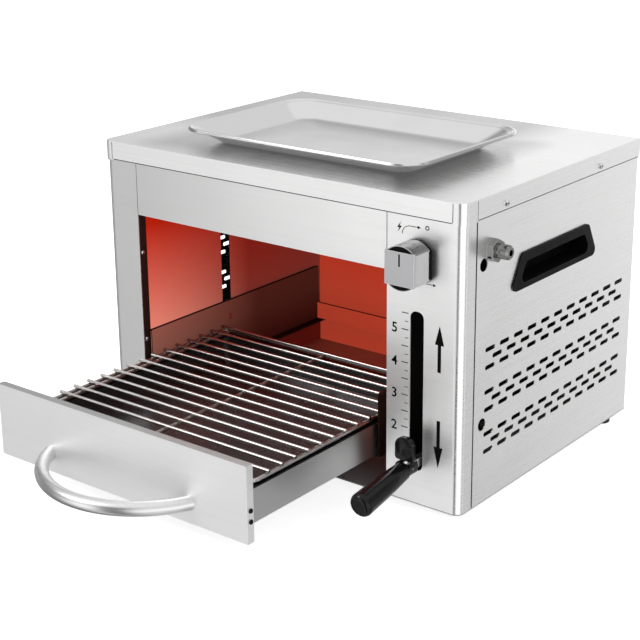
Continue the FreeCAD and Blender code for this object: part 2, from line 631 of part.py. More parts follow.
def burnerHousing():
    # a drawn plenum: a flat rim on the ceiling plate and a box with a closed top
    body = newBody("burner_housing")
    rim = sketchOn(body, "XY_Plane", "ceilingTop")
    rectangle(rim, "burnerX - plenumHalfX", "burnerX + plenumHalfX", "burnerY - plenumHalfY",
              "burnerY + plenumHalfY", "plenumRim")
    pad(body, rim, "sheetGauge")
    box = sketchOn(body, "XY_Plane", "ceilingTop + sheetGauge")
    hold = "plenumOverlap - sheetGauge"
    rectangle(box, f"burnerX - tileFieldX/2 + {hold}", f"burnerX + tileFieldX/2 - ({hold})",
              f"burnerY - tileFieldY/2 + {hold}", f"burnerY + tileFieldY/2 - ({hold})")
    pad(body, box, "plenumHeight")
    hollow = sketchOn(body, "XY_Plane", "ceilingTop")
    hold = "plenumOverlap"
    rectangle(hollow, f"burnerX - tileFieldX/2 + {hold}", f"burnerX + tileFieldX/2 - {hold}",
              f"burnerY - tileFieldY/2 + {hold}", f"burnerY + tileFieldY/2 - {hold}")
    pocket(body, hollow, "plenumHeight", True)
    inlet = sketchOn(body, "YZ_Plane", mixerStart)
    circle(inlet, "burnerY", "mixerZ", "mixerBore")
    pocket(body, inlet, "2*sheetGauge")


mixerStart = "burnerX + tileFieldX/2 - plenumOverlap + sheetGauge"


def burnerTiles():
    body = newBody("burner_tiles")
    sketch = sketchOn(body, "XY_Plane", "tileBottom")
    rectangle(sketch, "burnerX - tileFieldX/2", "burnerX - tileFieldX/2 + tileLength",
              "burnerY - tileFieldY/2", "burnerY - tileFieldY/2 + tileWidth")
    tile = pad(body, sketch, "tileThickness")
    patterned(body, [tile], [("X_Axis", "tileLength + tileGap", "2"), ("Y_Axis", "tileWidth + tileGap", "2")])


def tileRetainer():
    # a shallow frame under the ceiling that holds the tiles up, with guard bars across it
    body = newBody("tile_retainer")
    low = "tileBottom - retainerFloor"
    clear = "tileFit"
    outer = sketchOn(body, "XY_Plane", low)
    edge = f"{clear} + retainerWall"
    rectangle(outer, f"burnerX - tileFieldX/2 - ({edge})", f"burnerX + tileFieldX/2 + {edge}",
              f"burnerY - tileFieldY/2 - ({edge})", f"burnerY + tileFieldY/2 + {edge}")
    ledge = "retainerLedge"
    rectangle(outer, f"burnerX - tileFieldX/2 + {ledge}", f"burnerX + tileFieldX/2 - {ledge}",
              f"burnerY - tileFieldY/2 + {ledge}", f"burnerY + tileFieldY/2 - {ledge}")
    pad(body, outer, f"ceilingHeight - ({low})")
    well = sketchOn(body, "XY_Plane", "tileBottom")
    rectangle(well, f"burnerX - tileFieldX/2 - {clear}", f"burnerX + tileFieldX/2 + {clear}",
              f"burnerY - tileFieldY/2 - {clear}", f"burnerY + tileFieldY/2 + {clear}")
    pocket(body, well, "ceilingHeight - tileBottom", True)
    bar = sketchOn(body, "XY_Plane", low)
    pitch = "tileFieldX/(guardBars + 1)"
    first = f"burnerX - tileFieldX/2 + {pitch}"
    rectangle(bar, f"{first} - guardBarWidth/2", f"{first} + guardBarWidth/2",
              f"burnerY - tileFieldY/2 + {ledge} - 1", f"burnerY + tileFieldY/2 - {ledge} + 1")
    guard = pad(body, bar, "retainerFloor")
    patterned(body, [guard], [("X_Axis", pitch, "guardBars")])


def mixingTube():
    body = newBody("mixing_tube")
    wall = "mixerBore + mixerWall"
    turned(body, "X", (mixerStart, "burnerY", "mixerZ"),
           [("0", "mixerBore"), ("0", "mixerFlange"), ("2", "mixerFlange"), ("2", wall),
            ("mixerLength", wall), ("mixerLength + mixerBellLength", "mixerBell + mixerWall"),
            ("mixerLength + mixerBellLength", "mixerBell"), ("mixerLength", "mixerBore")])


jetFace = f"{mixerStart} + mixerLength + mixerBellLength + jetGap"


def gasJet():
    # the jet block: its nozzle looks into the bell mouth and the pipe enters its front face
    body = newBody("gas_jet")
    half = "jetBlock/2"
    sketch = sketchOn(body, "XZ_Plane", f"burnerY - {half}")
    left = f"{jetFace} + jetNozzleLength"
    rectangle(sketch, left, f"{left} + jetBlock", f"mixerZ - {half}", f"mixerZ + {half}")
    pad(body, sketch, "jetBlock", True)
    turned(body, "X", (jetFace, "burnerY", "mixerZ"),
           [("0", "0"), ("0", "jetNozzle - jetTaper"), ("jetStep", "jetNozzle"), ("jetNozzleLength + 1", "jetNozzle"),
            ("jetNozzleLength + 1", "0")])


# Gas train

def gasValve():
    body = newBody("gas_valve")
    sketch = sketchOn(body, "XZ_Plane", "webY + sheetGauge")
    rectangle(sketch, "knobX - valveWidth/2", "knobX + valveWidth/2", "knobHeight - valveHeight/2",
              "knobHeight + valveHeight/2", "valveRound")
    pad(body, sketch, "valveDepth", True)
    boss = sketchOn(body, "XZ_Plane", "webY + sheetGauge")
    circle(boss, "knobX", "knobHeight", "valveBoss")
    pad(body, boss, "valveBossLength")
    bore = sketchOn(body, "XZ_Plane", "webY + sheetGauge - valveBossLength")
    circle(bore, "knobX", "knobHeight", "stemRadius + stemFit")
    pocket(body, bore, "stemDepth + stemPush + valveBossLength + 1")


def valveBracket():
    body = newBody("valve_bracket")
    sketch = sketchOn(body, "XY_Plane", "knobHeight - bracketHeight/2")
    left, right = "knobX - bracketWeb/2", "knobX + bracketWeb/2"
    folded(sketch, [(f"{left} - bracketFoot", "panelBack"), (left, "panelBack"), (left, "webY"),
                    (right, "webY"), (right, "panelBack"), (f"{right} + bracketFoot", "panelBack")],
           "sheetGauge", 1)
    pad(body, sketch, "bracketHeight")
    hole = sketchOn(body, "XZ_Plane", "webY")
    circle(hole, "knobX", "knobHeight", "bracketBore")
    pocket(body, hole, "2*sheetGauge")


def hexagon(sketch, x, y, across):
    corners = []
    for k in range(6):
        angle = 60 * k + 30
        corners.append((f"{x} + {across}/sqrt(3)*cos({angle})", f"{y} + {across}/sqrt(3)*sin({angle})"))
    trace(sketch, corners)


def inletFitting():
    body = newBody("gas_inlet_fitting")
    axis = ("sideX", "inletY", "inletHeight")
    thread = "inletHexLength + inletThreadLength"
    hexagonal = sketchOn(body, "YZ_Plane", "sideX")
    hexagon(hexagonal, "inletY", "inletHeight", "inletHexAcross")
    pad(body, hexagonal, "inletHexLength")
    turned(body, "X", axis,
           [("-inletShank", "inletBore"), ("-inletShank", "inletThread"), (thread, "inletThread"),
            (f"{thread} + inletNose", "inletThread - inletNose"), (f"{thread} + inletNose", "inletBore")])
    bore = sketchOn(body, "YZ_Plane", "sideX + inletHexLength")
    circle(bore, "inletY", "inletHeight", "inletBore")
    pocket(body, bore, "inletHexLength + 1")


def inletNut():
    body = newBody("inlet_lock_nut")
    sketch = sketchOn(body, "YZ_Plane", "sideX - sheetGauge")
    hexagon(sketch, "inletY", "inletHeight", "inletHexAcross")
    circle(sketch, "inletY", "inletHeight", "inletThread")
    pad(body, sketch, "nutThickness", True)


def inletPipe():
    # the short supply pipe from the fitting to the side of the valve, a flare nut at each end
    body = newBody("inlet_pipe")
    valveSide = "knobX + valveWidth/2"
    length = f"sideX - inletShank - ({valveSide})"
    turned(body, "X", (valveSide, "inletY", "inletHeight"),
           [("0", "0"), ("0", "pipeNut"), ("pipeNutLength", "pipeNut"), ("pipeNutLength", "pipeRadius"),
            (f"{length} - pipeEnd", "pipeRadius"), (f"{length} - pipeEnd", "pipeNut"), (length, "pipeNut"), (length, "0")])


def burnerPipe():
    body = newBody("burner_pipe")
    start, end = "webY + sheetGauge + valveDepth", "burnerY - jetBlock/2"
    sketch = sketchOn(body, "YZ_Plane", f"{jetFace} + jetNozzleLength + jetBlock/2")
    low = "knobHeight"
    path = [(start, low), (f"{start} + pipeStraight", low, "pipeBend"),
            (f"{end} - pipeStraight", "mixerZ", "pipeBend"), (end, "mixerZ")]
    trace(sketch, path, closed=False)
    profile = sketchOn(body, "XZ_Plane", start)
    circle(profile, f"{jetFace} + jetNozzleLength + jetBlock/2", low, "burnerPipeRadius")
    doc.recompute()
    pipe = body.newObject("PartDesign::AdditivePipe", "burner_pipe_run")
    pipe.Profile = profile
    pipe.Spine = (sketch, [f"Edge{k + 1}" for k in range(len(sketch.Shape.Edges))])


def burnerProbe(name, k, tip):
    # a ceramic-sleeved probe that stands in the ceiling plate on its collar
    body = newBody(name)
    place = (f"probeX + {k}*probePitch", "frontY + probeBack", "ceilingTop")
    turned(body, "Z", place,
           [("-probeDown - probeTipLength", "0"), ("-probeDown - probeTipLength", tip), ("-probeDown", tip),
            ("-probeDown", "probeRadius - probeNarrow"), ("-probeDown + 2*probeNarrow", "probeRadius"), ("0", "probeRadius"),
            ("0", "probeCollar"), ("probeCollarHeight", "probeCollar"), ("probeCollarHeight", "probeRadius"),
            ("probeUp", "probeRadius"), ("probeUp", "0")])


def notchRack():
    # the toothed bar behind the control panel that the latch drops into
    body = newBody("notch_rack")
    sketch = sketchOn(body, "YZ_Plane", "rackX - rackThickness/2")
    crest = "panelBack + rackDepth"
    rectangle(sketch, "panelBack", crest, "rackBottom", "rackBottom + rackTeeth*toothPitch")
    pad(body, sketch, "rackThickness")
    notch = sketchOn(body, "YZ_Plane", "rackX - rackThickness/2")
    low = "rackBottom + toothPitch/4"
    trace(notch, [(crest, low), (f"{crest} - toothDepth", f"{low} + toothDepth"),
                  (crest, f"{low} + 2*toothDepth"), (f"{crest} + toothLand", f"{low} + toothDepth")])
    cut = pocket(body, notch, "rackThickness", True)
    patterned(body, [cut], [("Z_Axis", "toothPitch", "rackTeeth")])


# Lift carriage

def carriagePlate(name, hand, x):
    body = newBody(name)
    sketch = sketchOn(body, "XZ_Plane", "frontY + carriageFront")
    folded(sketch, [(f"{x} + ({hand})*carriageLip", "carriageTop"), (x, "carriageTop"),
                    (x, "runnerTop - carriageGauge"),
                    (f"{x} - ({hand})*runnerWidth", "runnerTop - carriageGauge")], "carriageGauge", -hand)
    pad(body, sketch, "carriageRear - frontY - carriageFront", True)
    holes = sketchOn(body, "YZ_Plane", x)
    circle(holes, "slotLineY", "rollerHeight", "rollerStud")
    pocket(body, holes, "2*carriageGauge", hand < 0)


def carriageRear():
    body = newBody("carriage_rear_member")
    sketch = sketchOn(body, "YZ_Plane", "carriageLeftX + carriageGauge")
    web = "carriageRear - rearMemberStand"
    folded(sketch, [("carriageRear", "rearMemberTop"), (web, "rearMemberTop"), (web, "runnerTop"),
                    ("carriageRear", "runnerTop")], "carriageGauge", 1)
    pad(body, sketch, "carriageRightX - carriageLeftX - 2*carriageGauge")


def guideRollers():
    # a stud through each carriage plate, with a roller in the liner's slot and a head behind it
    body = newBody("guide_rollers")
    roller = "linerSlotWidth/2 - rollerSlotGap"
    for side, plate, liner in ((-1, "-carriageLeftX", "-linerLeftX"), (1, "carriageRightX", "linerRightX")):
        inner = f"{liner} + sheetGauge/2 - rollerWidth/2"
        outer = f"{liner} + sheetGauge/2 + rollerWidth/2"
        neck = f"{outer} + rollerNeckLength"
        head = f"{neck} + rollerHeadLength"
        profile = [(f"{plate} - carriageGauge", "0"), (f"{plate} - carriageGauge", "rollerStud"),
                   (inner, "rollerStud"), (inner, roller), (outer, roller), (outer, "rollerNeck"),
                   (neck, "rollerNeck"), (neck, "rollerHead"), (head, "rollerHead"), (head, "0")]
        turned(body, "X", ("0", "slotLineY", "rollerHeight"), [(f"({side})*({a})", r) for a, r in profile])
        doc.recompute()


def liftArm():
    # the arm that comes through the right liner's slot to the lever bar
    body = newBody("lift_arm")
    sketch = sketchOn(body, "YZ_Plane", "carriageRightX")
    rectangle(sketch, "slotLineY - armThickness/2", "slotLineY + armThickness/2", "barBottom",
              "barBottom + barHeight")
    pad(body, sketch, "barLeft - carriageRightX")


def leverBar():
    body = newBody("lever_bar")
    sketch = sketchOn(body, "YZ_Plane", "barLeft")
    rectangle(sketch, "frontY - collarBack - collarLength", "slotLineY + armThickness/2", "barBottom",
              "barBottom + barHeight")
    circle(sketch, "pinY", "barMiddle", "pinRadius")
    pad(body, sketch, "barThickness")


def leverCollar():
    body = newBody("lever_collar")
    sketch = sketchOn(body, "XZ_Plane", "frontY - collarBack")
    circle(sketch, "slotX", "barMiddle", "collarRadius")
    pad(body, sketch, "collarLength")
    slot = sketchOn(body, "XZ_Plane", "frontY - collarBack")
    rectangle(slot, "slotX - collarSlotLeft", "slotX + collarSlotRight", "barBottom", "barMiddle + 2*collarRadius")
    pocket(body, slot, "collarLength", True)
    bore = sketchOn(body, "YZ_Plane", "slotX + collarRadius")
    circle(bore, "pinY", "barMiddle", "pinRadius")
    pocket(body, bore, "2*collarRadius")


def leverGrip():
    # the moulded grip, drooping from the collar and domed at its end
    body = newBody("lever_grip", "centreX + slotX", "centreY + frontY - collarBack - collarLength",
                   "barMiddle - gripDrop")
    body.Placement.Rotation = FreeCAD.Rotation(FreeCAD.Vector(1, 0, 0), 1)
    body.setExpression(".Placement.Rotation.Angle", link("gripDroop"))
    turned(body, "Y", ("0", "0", "0"),
           [("gripRootRadius", "0"), ("gripRootRadius", "gripRootRadius"), ("0", "gripRootRadius"),
            ("-gripLength*gripWaist", "gripEndRadius - gripTaper", "gripFlare"),
            ("-gripLength", "gripEndRadius", "gripEndRound"), ("-gripLength", "0")])
    # the root is cut off in the plane of the collar's face
    trim = sketchOn(body, "YZ_Plane", "-gripEndRadius")
    rise = "2*gripRootRadius"
    lean = f"{rise}*tan(gripDroop)"
    trace(trim, [(f"-({lean})", f"-({rise})"), (f"{rise}", f"-({rise})"), (f"{rise} + {lean}", rise),
                 (lean, rise)])
    pocket(body, trim, "2*gripEndRadius", True)


def paddlePin():
    body = newBody("paddle_pin")
    sketch = sketchOn(body, "YZ_Plane", "slotX - collarRadius + pinShort")
    circle(sketch, "pinY", "barMiddle", "pinRadius")
    pad(body, sketch, "2*collarRadius - 2*pinShort")


def latchTongue():
    # a flat blade beside the bar: an arm up to the paddle in front, a tail behind the panel
    # whose tooth faces the notch rack
    body = newBody("latch_tongue")
    sketch = sketchOn(body, "YZ_Plane", "barRight + tongueGap")
    low, high = "barMiddle - tongueBelow", "barMiddle + tongueAbove"
    tail = "panelBack + rackDepth + toothGap + toothHeight"
    top = "barMiddle + tongueRise"
    trace(sketch, [("pinY - tongueArm", low, "2"), (f"{tail} + tongueArm", low, "2"),
                   (f"{tail} + tongueArm", top, "2"), (tail, top), (tail, high), ("pinY + tongueArm", high),
                   ("pinY + tongueArm", "barMiddle + collarRadius + paddleGap + paddleHeight*tongueShare"),
                   ("pinY - tongueArm/2", "barMiddle + collarRadius + paddleGap + paddleHeight*tongueShare"),
                   ("pinY - tongueArm/2", high), ("pinY - tongueArm", high)])
    circle(sketch, "pinY", "barMiddle", "pinRadius + pinFit")
    pad(body, sketch, "tongueThickness")
    tooth = sketchOn(body, "YZ_Plane", "barRight + tongueGap")
    trace(tooth, [(tail, f"{top} - 2*toothHeight"), (tail, top), (f"{tail} + tongueArm", top),
                  (f"{tail} + tongueArm", f"{top} - 2*toothHeight")])
    pad(body, tooth, "rackX + rackThickness/2 - barRight - tongueGap")
    wedge = sketchOn(body, "YZ_Plane", "rackX - rackThickness/2")
    trace(wedge, [(tail, f"{top} - 2*toothHeight"), (tail, top),
                  (f"{tail} - toothHeight", f"{top} - toothHeight")])
    pad(body, wedge, "rackThickness")


def thumbPaddle():
    # a spoon-shaped thumb rest in front of the tongue's arm
    body = newBody("thumb_paddle")
    face = "pinY - tongueArm/2"
    sketch = sketchOn(body, "XZ_Plane", face)
    left = "slotX + paddleShift - paddleWidth/2 - paddleTrim"
    right = "slotX + paddleShift + paddleWidth/2 - paddleTrim"
    low = "barMiddle + collarRadius + paddleGap"
    trace(sketch, [(left, low, "paddleRound"), (right, low, "paddleRound"), (right, f"{low} + paddleHeight", "paddleWidth/2 - paddleTrim"),
                   (left, f"{low} + paddleHeight", "paddleWidth/2 - paddleTrim")])
    pad(body, sketch, "paddleThickness")
    dish = sketchOn(body, "XY_Plane", f"{low} + paddleHeight - paddleWidth/2",
                    (f"({left} + {right})/2", f"{face} - paddleThickness"))
    radius, depth = val("paddleDish"), val("paddleDishDepth")
    half = math.acos((radius - depth) / radius)
    centre = FreeCAD.Vector(0, depth - radius, 0)
    arc = dish.addGeometry(Part.ArcOfCircle(Part.Circle(centre, FreeCAD.Vector(0, 0, 1), radius),
                                            math.pi / 2 - half, math.pi / 2), False)
    rim = FreeCAD.Vector(radius * math.sin(half), 0, 0)
    edge = dish.addGeometry(Part.LineSegment(FreeCAD.Vector(0, 0, 0), rim), False)
    axis = dish.addGeometry(Part.LineSegment(FreeCAD.Vector(0, depth, 0), FreeCAD.Vector(0, 0, 0)), False)
    for first, second in (((arc, 1), (edge, 2)), ((arc, 2), (axis, 1)), ((axis, 2), (edge, 1))):
        dish.addConstraint(Sketcher.Constraint("Coincident", *first, *second))
    tie(dish, "Radius", (arc,), "paddleDish")
    tiePoint(dish, arc, 3, "0", "paddleDishDepth - paddleDish")
    tiePoint(dish, edge, 1, "0", "0")
    tie(dish, "DistanceY", (-1, 1, edge, 2), "0")
    tie(dish, "DistanceX", (-1, 1, axis, 1), "0")
    hollow = body.newObject("PartDesign::Groove", "thumb_paddle_dish")
    hollow.Profile = dish
    hollow.ReferenceAxis = (dish, ["V_Axis"])
    hollow.Angle = 360


# Drawer

def drawerFront():
    body = drawerBody("drawer_front")
    left = "-frontLeft"
    top = "frontBottom + frontHeight"
    sketch = sketchOn(body, "XZ_Plane", "closedFaceY")
    rectangle(sketch, left, "frontRight", "frontBottom", top)
    pad(body, sketch, "frontDepth", True)
    hollow = sketchOn(body, "XZ_Plane", "closedFaceY + frontDepth")
    rectangle(hollow, f"{left} + sheetGauge", "frontRight - sheetGauge", "frontBottom + sheetGauge",
              f"{top} - sheetGauge")
    pocket(body, hollow, "frontDepth - sheetGauge", True)
    holes = sketchOn(body, "XZ_Plane", "closedFaceY")
    for side in (-1, 1):
        circle(holes, f"handleX + ({side})*handleSpan/2", "handleHeight", "screwShank")
    pocket(body, holes, "2*sheetGauge")
    edge = sketchOn(body, "YZ_Plane", "frontRight")
    for z in ("drawerScrewHigh", "drawerScrewLow"):
        circle(edge, "closedFaceY + drawerScrewBack", z, "screwShank")
    pocket(body, edge, "2*sheetGauge")


def drawerSide(name, hand, x):
    body = drawerBody(name)
    sketch = sketchOn(body, "XZ_Plane", "closedFaceY + sheetGauge")
    inward = f"{x} - ({hand})*drawerFlange"
    folded(sketch, [(inward, "drawerTop"), (x, "drawerTop"), (x, "drawerBottom"), (inward, "drawerBottom")],
           "sheetGauge", -hand)
    pad(body, sketch, "drawerRear - closedFaceY - sheetGauge", True)
    if hand > 0:
        holes = sketchOn(body, "YZ_Plane", x)
        for z in ("drawerScrewHigh", "drawerScrewLow"):
            circle(holes, "closedFaceY + drawerScrewBack", z, "screwShank")
        pocket(body, holes, "2*sheetGauge")


def drawerRear():
    body = drawerBody("drawer_rear")
    sketch = sketchOn(body, "XZ_Plane", "drawerRear")
    rectangle(sketch, "sheetGauge - drawerLeft", "drawerRightX - sheetGauge", "drawerBottom + sheetGauge",
              "drawerTop - sheetGauge")
    pad(body, sketch, "sheetGauge")


def drawerHandle():
    # one bow of tube, its ends cut flush on the drawer front
    body = drawerBody("drawer_handle")
    path = sketchOn(body, "XY_Plane", "handleHeight")
    sink = "handleRadius"
    centre = f"closedFaceY - handleReach + handleArc"
    radius = val("handleArc")
    middle = FreeCAD.Vector(val("handleX"), val(centre), 0)
    half = math.acos((val(centre) - val(f"closedFaceY + {sink}")) / radius)
    bow = Part.ArcOfCircle(Part.Circle(middle, FreeCAD.Vector(0, 0, 1), radius),
                           -math.pi / 2 - half, -math.pi / 2 + half)
    arc = path.addGeometry(bow, False)
    tie(path, "Radius", (arc,), "handleArc")
    tiePoint(path, arc, 3, "handleX", centre)
    tie(path, "DistanceY", (-1, 1, arc, 1), f"closedFaceY + {sink}")
    tie(path, "DistanceY", (-1, 1, arc, 2), f"closedFaceY + {sink}")
    profile = sketchOn(body, "YZ_Plane", "handleX")
    circle(profile, "closedFaceY - handleReach", "handleHeight", "handleRadius")
    doc.recompute()
    pipe = body.newObject("PartDesign::AdditivePipe", "drawer_handle_bow")
    pipe.Profile = profile
    pipe.Spine = (path, ["Edge1"])
    flush = sketchOn(body, "XZ_Plane", "closedFaceY")
    rectangle(flush, "handleX - handleSpan", "handleX + handleSpan", "handleHeight - 2*handleRadius",
              "handleHeight + 2*handleRadius")
    pocket(body, flush, "4*handleRadius")
    for side in (-1, 1):
        bore = sketchOn(body, "XZ_Plane", "closedFaceY")
        circle(bore, f"handleX + ({side})*handleSpan/2", "handleHeight", "screwShank")
        pocket(body, bore, "screwLength", True)


def handleScrews():
    body = drawerBody("handle_screws")
    inner = "closedFaceY + sheetGauge"
    profile = [(f"{inner} + screwHeadHeight", "0"), (f"{inner} + screwHeadHeight", "screwHead"),
               (inner, "screwHead"), (inner, "screwShank"), ("closedFaceY - screwLength", "screwShank"),
               ("closedFaceY - screwLength", "0")]
    for side in (-1, 1):
        turned(body, "Y", (f"handleX + ({side})*handleSpan/2", "0", "handleHeight"), profile)
        doc.recompute()


def drawerScrews():
    body = drawerBody("drawer_screws")
    profile = [("frontRight + drawerScrewHead", "0"), ("frontRight + drawerScrewHead", "screwShank + drawerScrewCrown"),
               ("frontRight", "screwHead - screwCrown"), ("frontRight", "screwShank"),
               ("frontRight - screwLength", "screwShank"), ("frontRight - screwLength", "0")]
    for z in ("drawerScrewHigh", "drawerScrewLow"):
        turned(body, "X", ("0", "closedFaceY + drawerScrewBack", z), profile)
        doc.recompute()


panLeft = "-drawerLeft + drawerFlange + panClear"
panRight = "drawerRightX - drawerFlange - panClear"


def dripPan():
    body = drawerBody("drip_pan")
    front, rear = "closedFaceY + sheetGauge + panFront", "drawerRear - panRear"
    low = "drawerTop - panDepth"
    base = sketchOn(body, "XY_Plane", low)
    rectangle(base, f"{panLeft} + panFloorInset", f"{panRight} - panFloorInset", f"{front} + panFloorInset",
              f"{rear} - panFloorInset", "panFloorRound")
    mouth = sketchOn(body, "XY_Plane", "drawerTop")
    rectangle(mouth, panLeft, panRight, front, rear, "panRound")
    loftBetween(body, base, mouth, "PartDesign::AdditiveLoft")
    rim = sketchOn(body, "XY_Plane", "drawerTop")
    rectangle(rim, "panRimInset - drawerLeft", "drawerRightX - panRimInset", f"{front} - panFront + panRimInset",
              f"{rear} + panRear - 2*panRimInset", "panRimRound")
    pad(body, rim, "panWall")
    inBase = sketchOn(body, "XY_Plane", f"{low} + panWall")
    inset = "panFloorInset + panWall"
    rectangle(inBase, f"{panLeft} + {inset}", f"{panRight} - ({inset})", f"{front} + {inset}",
              f"{rear} - ({inset})", "panFloorRound - panWall")
    inMouth = sketchOn(body, "XY_Plane", "drawerTop + panWall")
    rectangle(inMouth, f"{panLeft} + panWall", f"{panRight} - panWall", f"{front} + panWall",
              f"{rear} - panWall", "panRound - panWall")
    loftBetween(body, inBase, inMouth, "PartDesign::SubtractiveLoft")


def loftBetween(body, low, high, kind):
    doc.recompute()
    loft = body.newObject(kind, body.Name + "_loft")
    loft.Profile = low
    loft.Sections = [high]
    loft.Ruled = True
    return loft


frameLeft = "frameInset - drawerLeft + panRimInset"
frameRight = "drawerRightX - frameInset - panRimInset"


def grateFrame():
    # the welded frame: one bent loop, a second rod inside its left side and a middle support
    body = drawerBody("grate_frame")
    front, rear = "closedFaceY + frameFrontBack", "frameRear"
    path = sketchOn(body, "XY_Plane", "frameZ")
    rectangle(path, frameLeft, frameRight, front, rear, "frameRound")
    profile = sketchOn(body, "XZ_Plane", f"({front} + {rear})/2")
    circle(profile, frameRight, "frameZ", "frameRod")
    doc.recompute()
    loop = body.newObject("PartDesign::AdditivePipe", "grate_frame_loop")
    loop.Profile = profile
    loop.Spine = (path, [f"Edge{k + 1}" for k in range(len(path.Shape.Edges))])
    rods = sketchOn(body, "XZ_Plane", front)
    circle(rods, f"{frameLeft} + doubleRodGap", "frameZ", "frameRod")
    circle(rods, "-supportX", "frameZ", "frameRod")
    pad(body, rods, f"{rear} - ({front})", True)


def grateRods():
    body = drawerBody("grate_rods")
    sketch = sketchOn(body, "YZ_Plane", f"{frameLeft} - rodOverhang")
    circle(sketch, "-firstRod", "crossZ", "crossRod")
    rod = pad(body, sketch, f"{frameRight} - ({frameLeft}) + 2*rodOverhang")
    patterned(body, [rod], [("Y_Axis", "rodPitch", "rodCount")])


# Serving tray on the cover

def servingTray():
    body = newBody("serving_tray", "centreX - trayShiftX", "centreY - trayShiftY", "overallHeight")
    halfX, halfY = "trayWidth/2", "trayDepth/2"

    def level(z, inset, radius):
        sketch = sketchOn(body, "XY_Plane", z)
        rectangle(sketch, f"-({halfX} - ({inset}))", f"{halfX} - ({inset})", f"-({halfY} - ({inset}))",
                  f"{halfY} - ({inset})", radius)
        return sketch

    mouth = "trayHeight - trayRimHeight/2"
    loftBetween(body, level("0", "trayBaseInset", "trayBaseRound"), level(mouth, "trayRim", "trayRound - trayRim"),
                "PartDesign::AdditiveLoft")
    pad(body, level("trayHeight - trayRimHeight", "0", "trayRound"), "trayRimHeight")
    loftBetween(body, level("trayWall", "trayBaseInset + trayWall", "trayBaseRound - trayWall"),
                level("trayHeight + 1", "trayRim + trayWall - 1", "trayRound - trayRim - trayWall + 1"),
                "PartDesign::SubtractiveLoft")


# Knob

def thrustWasher():
    body = newBody("stem_thrust_washer")
    at = "webY - valveBossLength - washerStand"
    sketch = sketchOn(body, "XZ_Plane", at)
    circle(sketch, "knobX", "knobHeight", "washerRadius")
    circle(sketch, "knobX", "knobHeight", "stemRadius + stemFit")
    pad(body, sketch, "washerThickness")


knobFace = "frontY - knobGap - knobLength"


def valveStem():
    body = newBody("valve_stem")
    start = "webY + stemDepth"
    sketch = sketchOn(body, "XZ_Plane", start)
    circle(sketch, "knobX", "knobHeight", "stemRadius")
    pad(body, sketch, f"{start} - ({knobFace}) - knobBoreEnd")


def knobProfile(sketch, radius, halfWidth):
    # a circle with a flat on each side
    r, w = val(radius), val(halfWidth)
    x, z = val("knobX"), val("knobHeight")
    rise = math.sqrt(r * r - w * w)
    angle = math.atan2(rise, w)
    axis = FreeCAD.Vector(0, 0, 1)
    ring = Part.Circle(FreeCAD.Vector(x, z, 0), axis, r)
    top = sketch.addGeometry(Part.ArcOfCircle(ring, angle, math.pi - angle), False)
    low = sketch.addGeometry(Part.ArcOfCircle(ring, math.pi + angle, 2 * math.pi - angle), False)
    left = sketch.addGeometry(Part.LineSegment(FreeCAD.Vector(x - w, z + rise, 0),
                                               FreeCAD.Vector(x - w, z - rise, 0)), False)
    right = sketch.addGeometry(Part.LineSegment(FreeCAD.Vector(x + w, z - rise, 0),
                                                FreeCAD.Vector(x + w, z + rise, 0)), False)
    for first, second in (((top, 2), (left, 1)), ((left, 2), (low, 1)), ((low, 2), (right, 1)),
                          ((right, 2), (top, 1))):
        sketch.addConstraint(Sketcher.Constraint("Coincident", *first, *second))
    sketch.addConstraint(Sketcher.Constraint("Vertical", left))
    sketch.addConstraint(Sketcher.Constraint("Vertical", right))
    sketch.addConstraint(Sketcher.Constraint("Coincident", top, 3, low, 3))
    sketch.addConstraint(Sketcher.Constraint("Equal", top, low))
    tie(sketch, "Radius", (top,), radius)
    tiePoint(sketch, top, 3, "knobX", "knobHeight")
    tie(sketch, "DistanceX", (-1, 1, left, 1), f"knobX - ({halfWidth})")
    tie(sketch, "DistanceX", (-1, 1, right, 1), f"knobX + {halfWidth}")


def knobBody():
    body = newBody("knob_body")
    back = "frontY - knobGap"
    skirt = sketchOn(body, "XZ_Plane", back)
    circle(skirt, "knobX", "knobHeight", "skirtRadius")
    pad(body, skirt, "knobSkirt")
    core = sketchOn(body, "XZ_Plane", back)
    knobProfile(core, "drumRadius - capWall", "drumHalfWidth - capWall")
    pad(body, core, "knobLength - facePlate - 1")
    bore = sketchOn(body, "XZ_Plane", back)
    circle(bore, "knobX", "knobHeight", "stemRadius")
    pocket(body, bore, "knobLength - knobBoreEnd", True)


def knobCap():
    # the bright sleeve round the grip of the knob, with its square face plate
    body = newBody("knob_cap")
    back = "frontY - knobGap - knobSkirt"
    sleeve = sketchOn(body, "XZ_Plane", back)
    knobProfile(sleeve, "drumRadius", "drumHalfWidth")
    knobProfile(sleeve, "drumRadius - capWall", "drumHalfWidth - capWall")
    pad(body, sleeve, "knobLength - knobSkirt - facePlate")
    plate = sketchOn(body, "XZ_Plane", f"{knobFace} + facePlate + 1")
    rectangle(plate, "knobX - drumHalfWidth", "knobX + drumHalfWidth", "knobHeight - facePlateHalf",
              "knobHeight + facePlateHalf")
    pad(body, plate, "facePlate + 1")


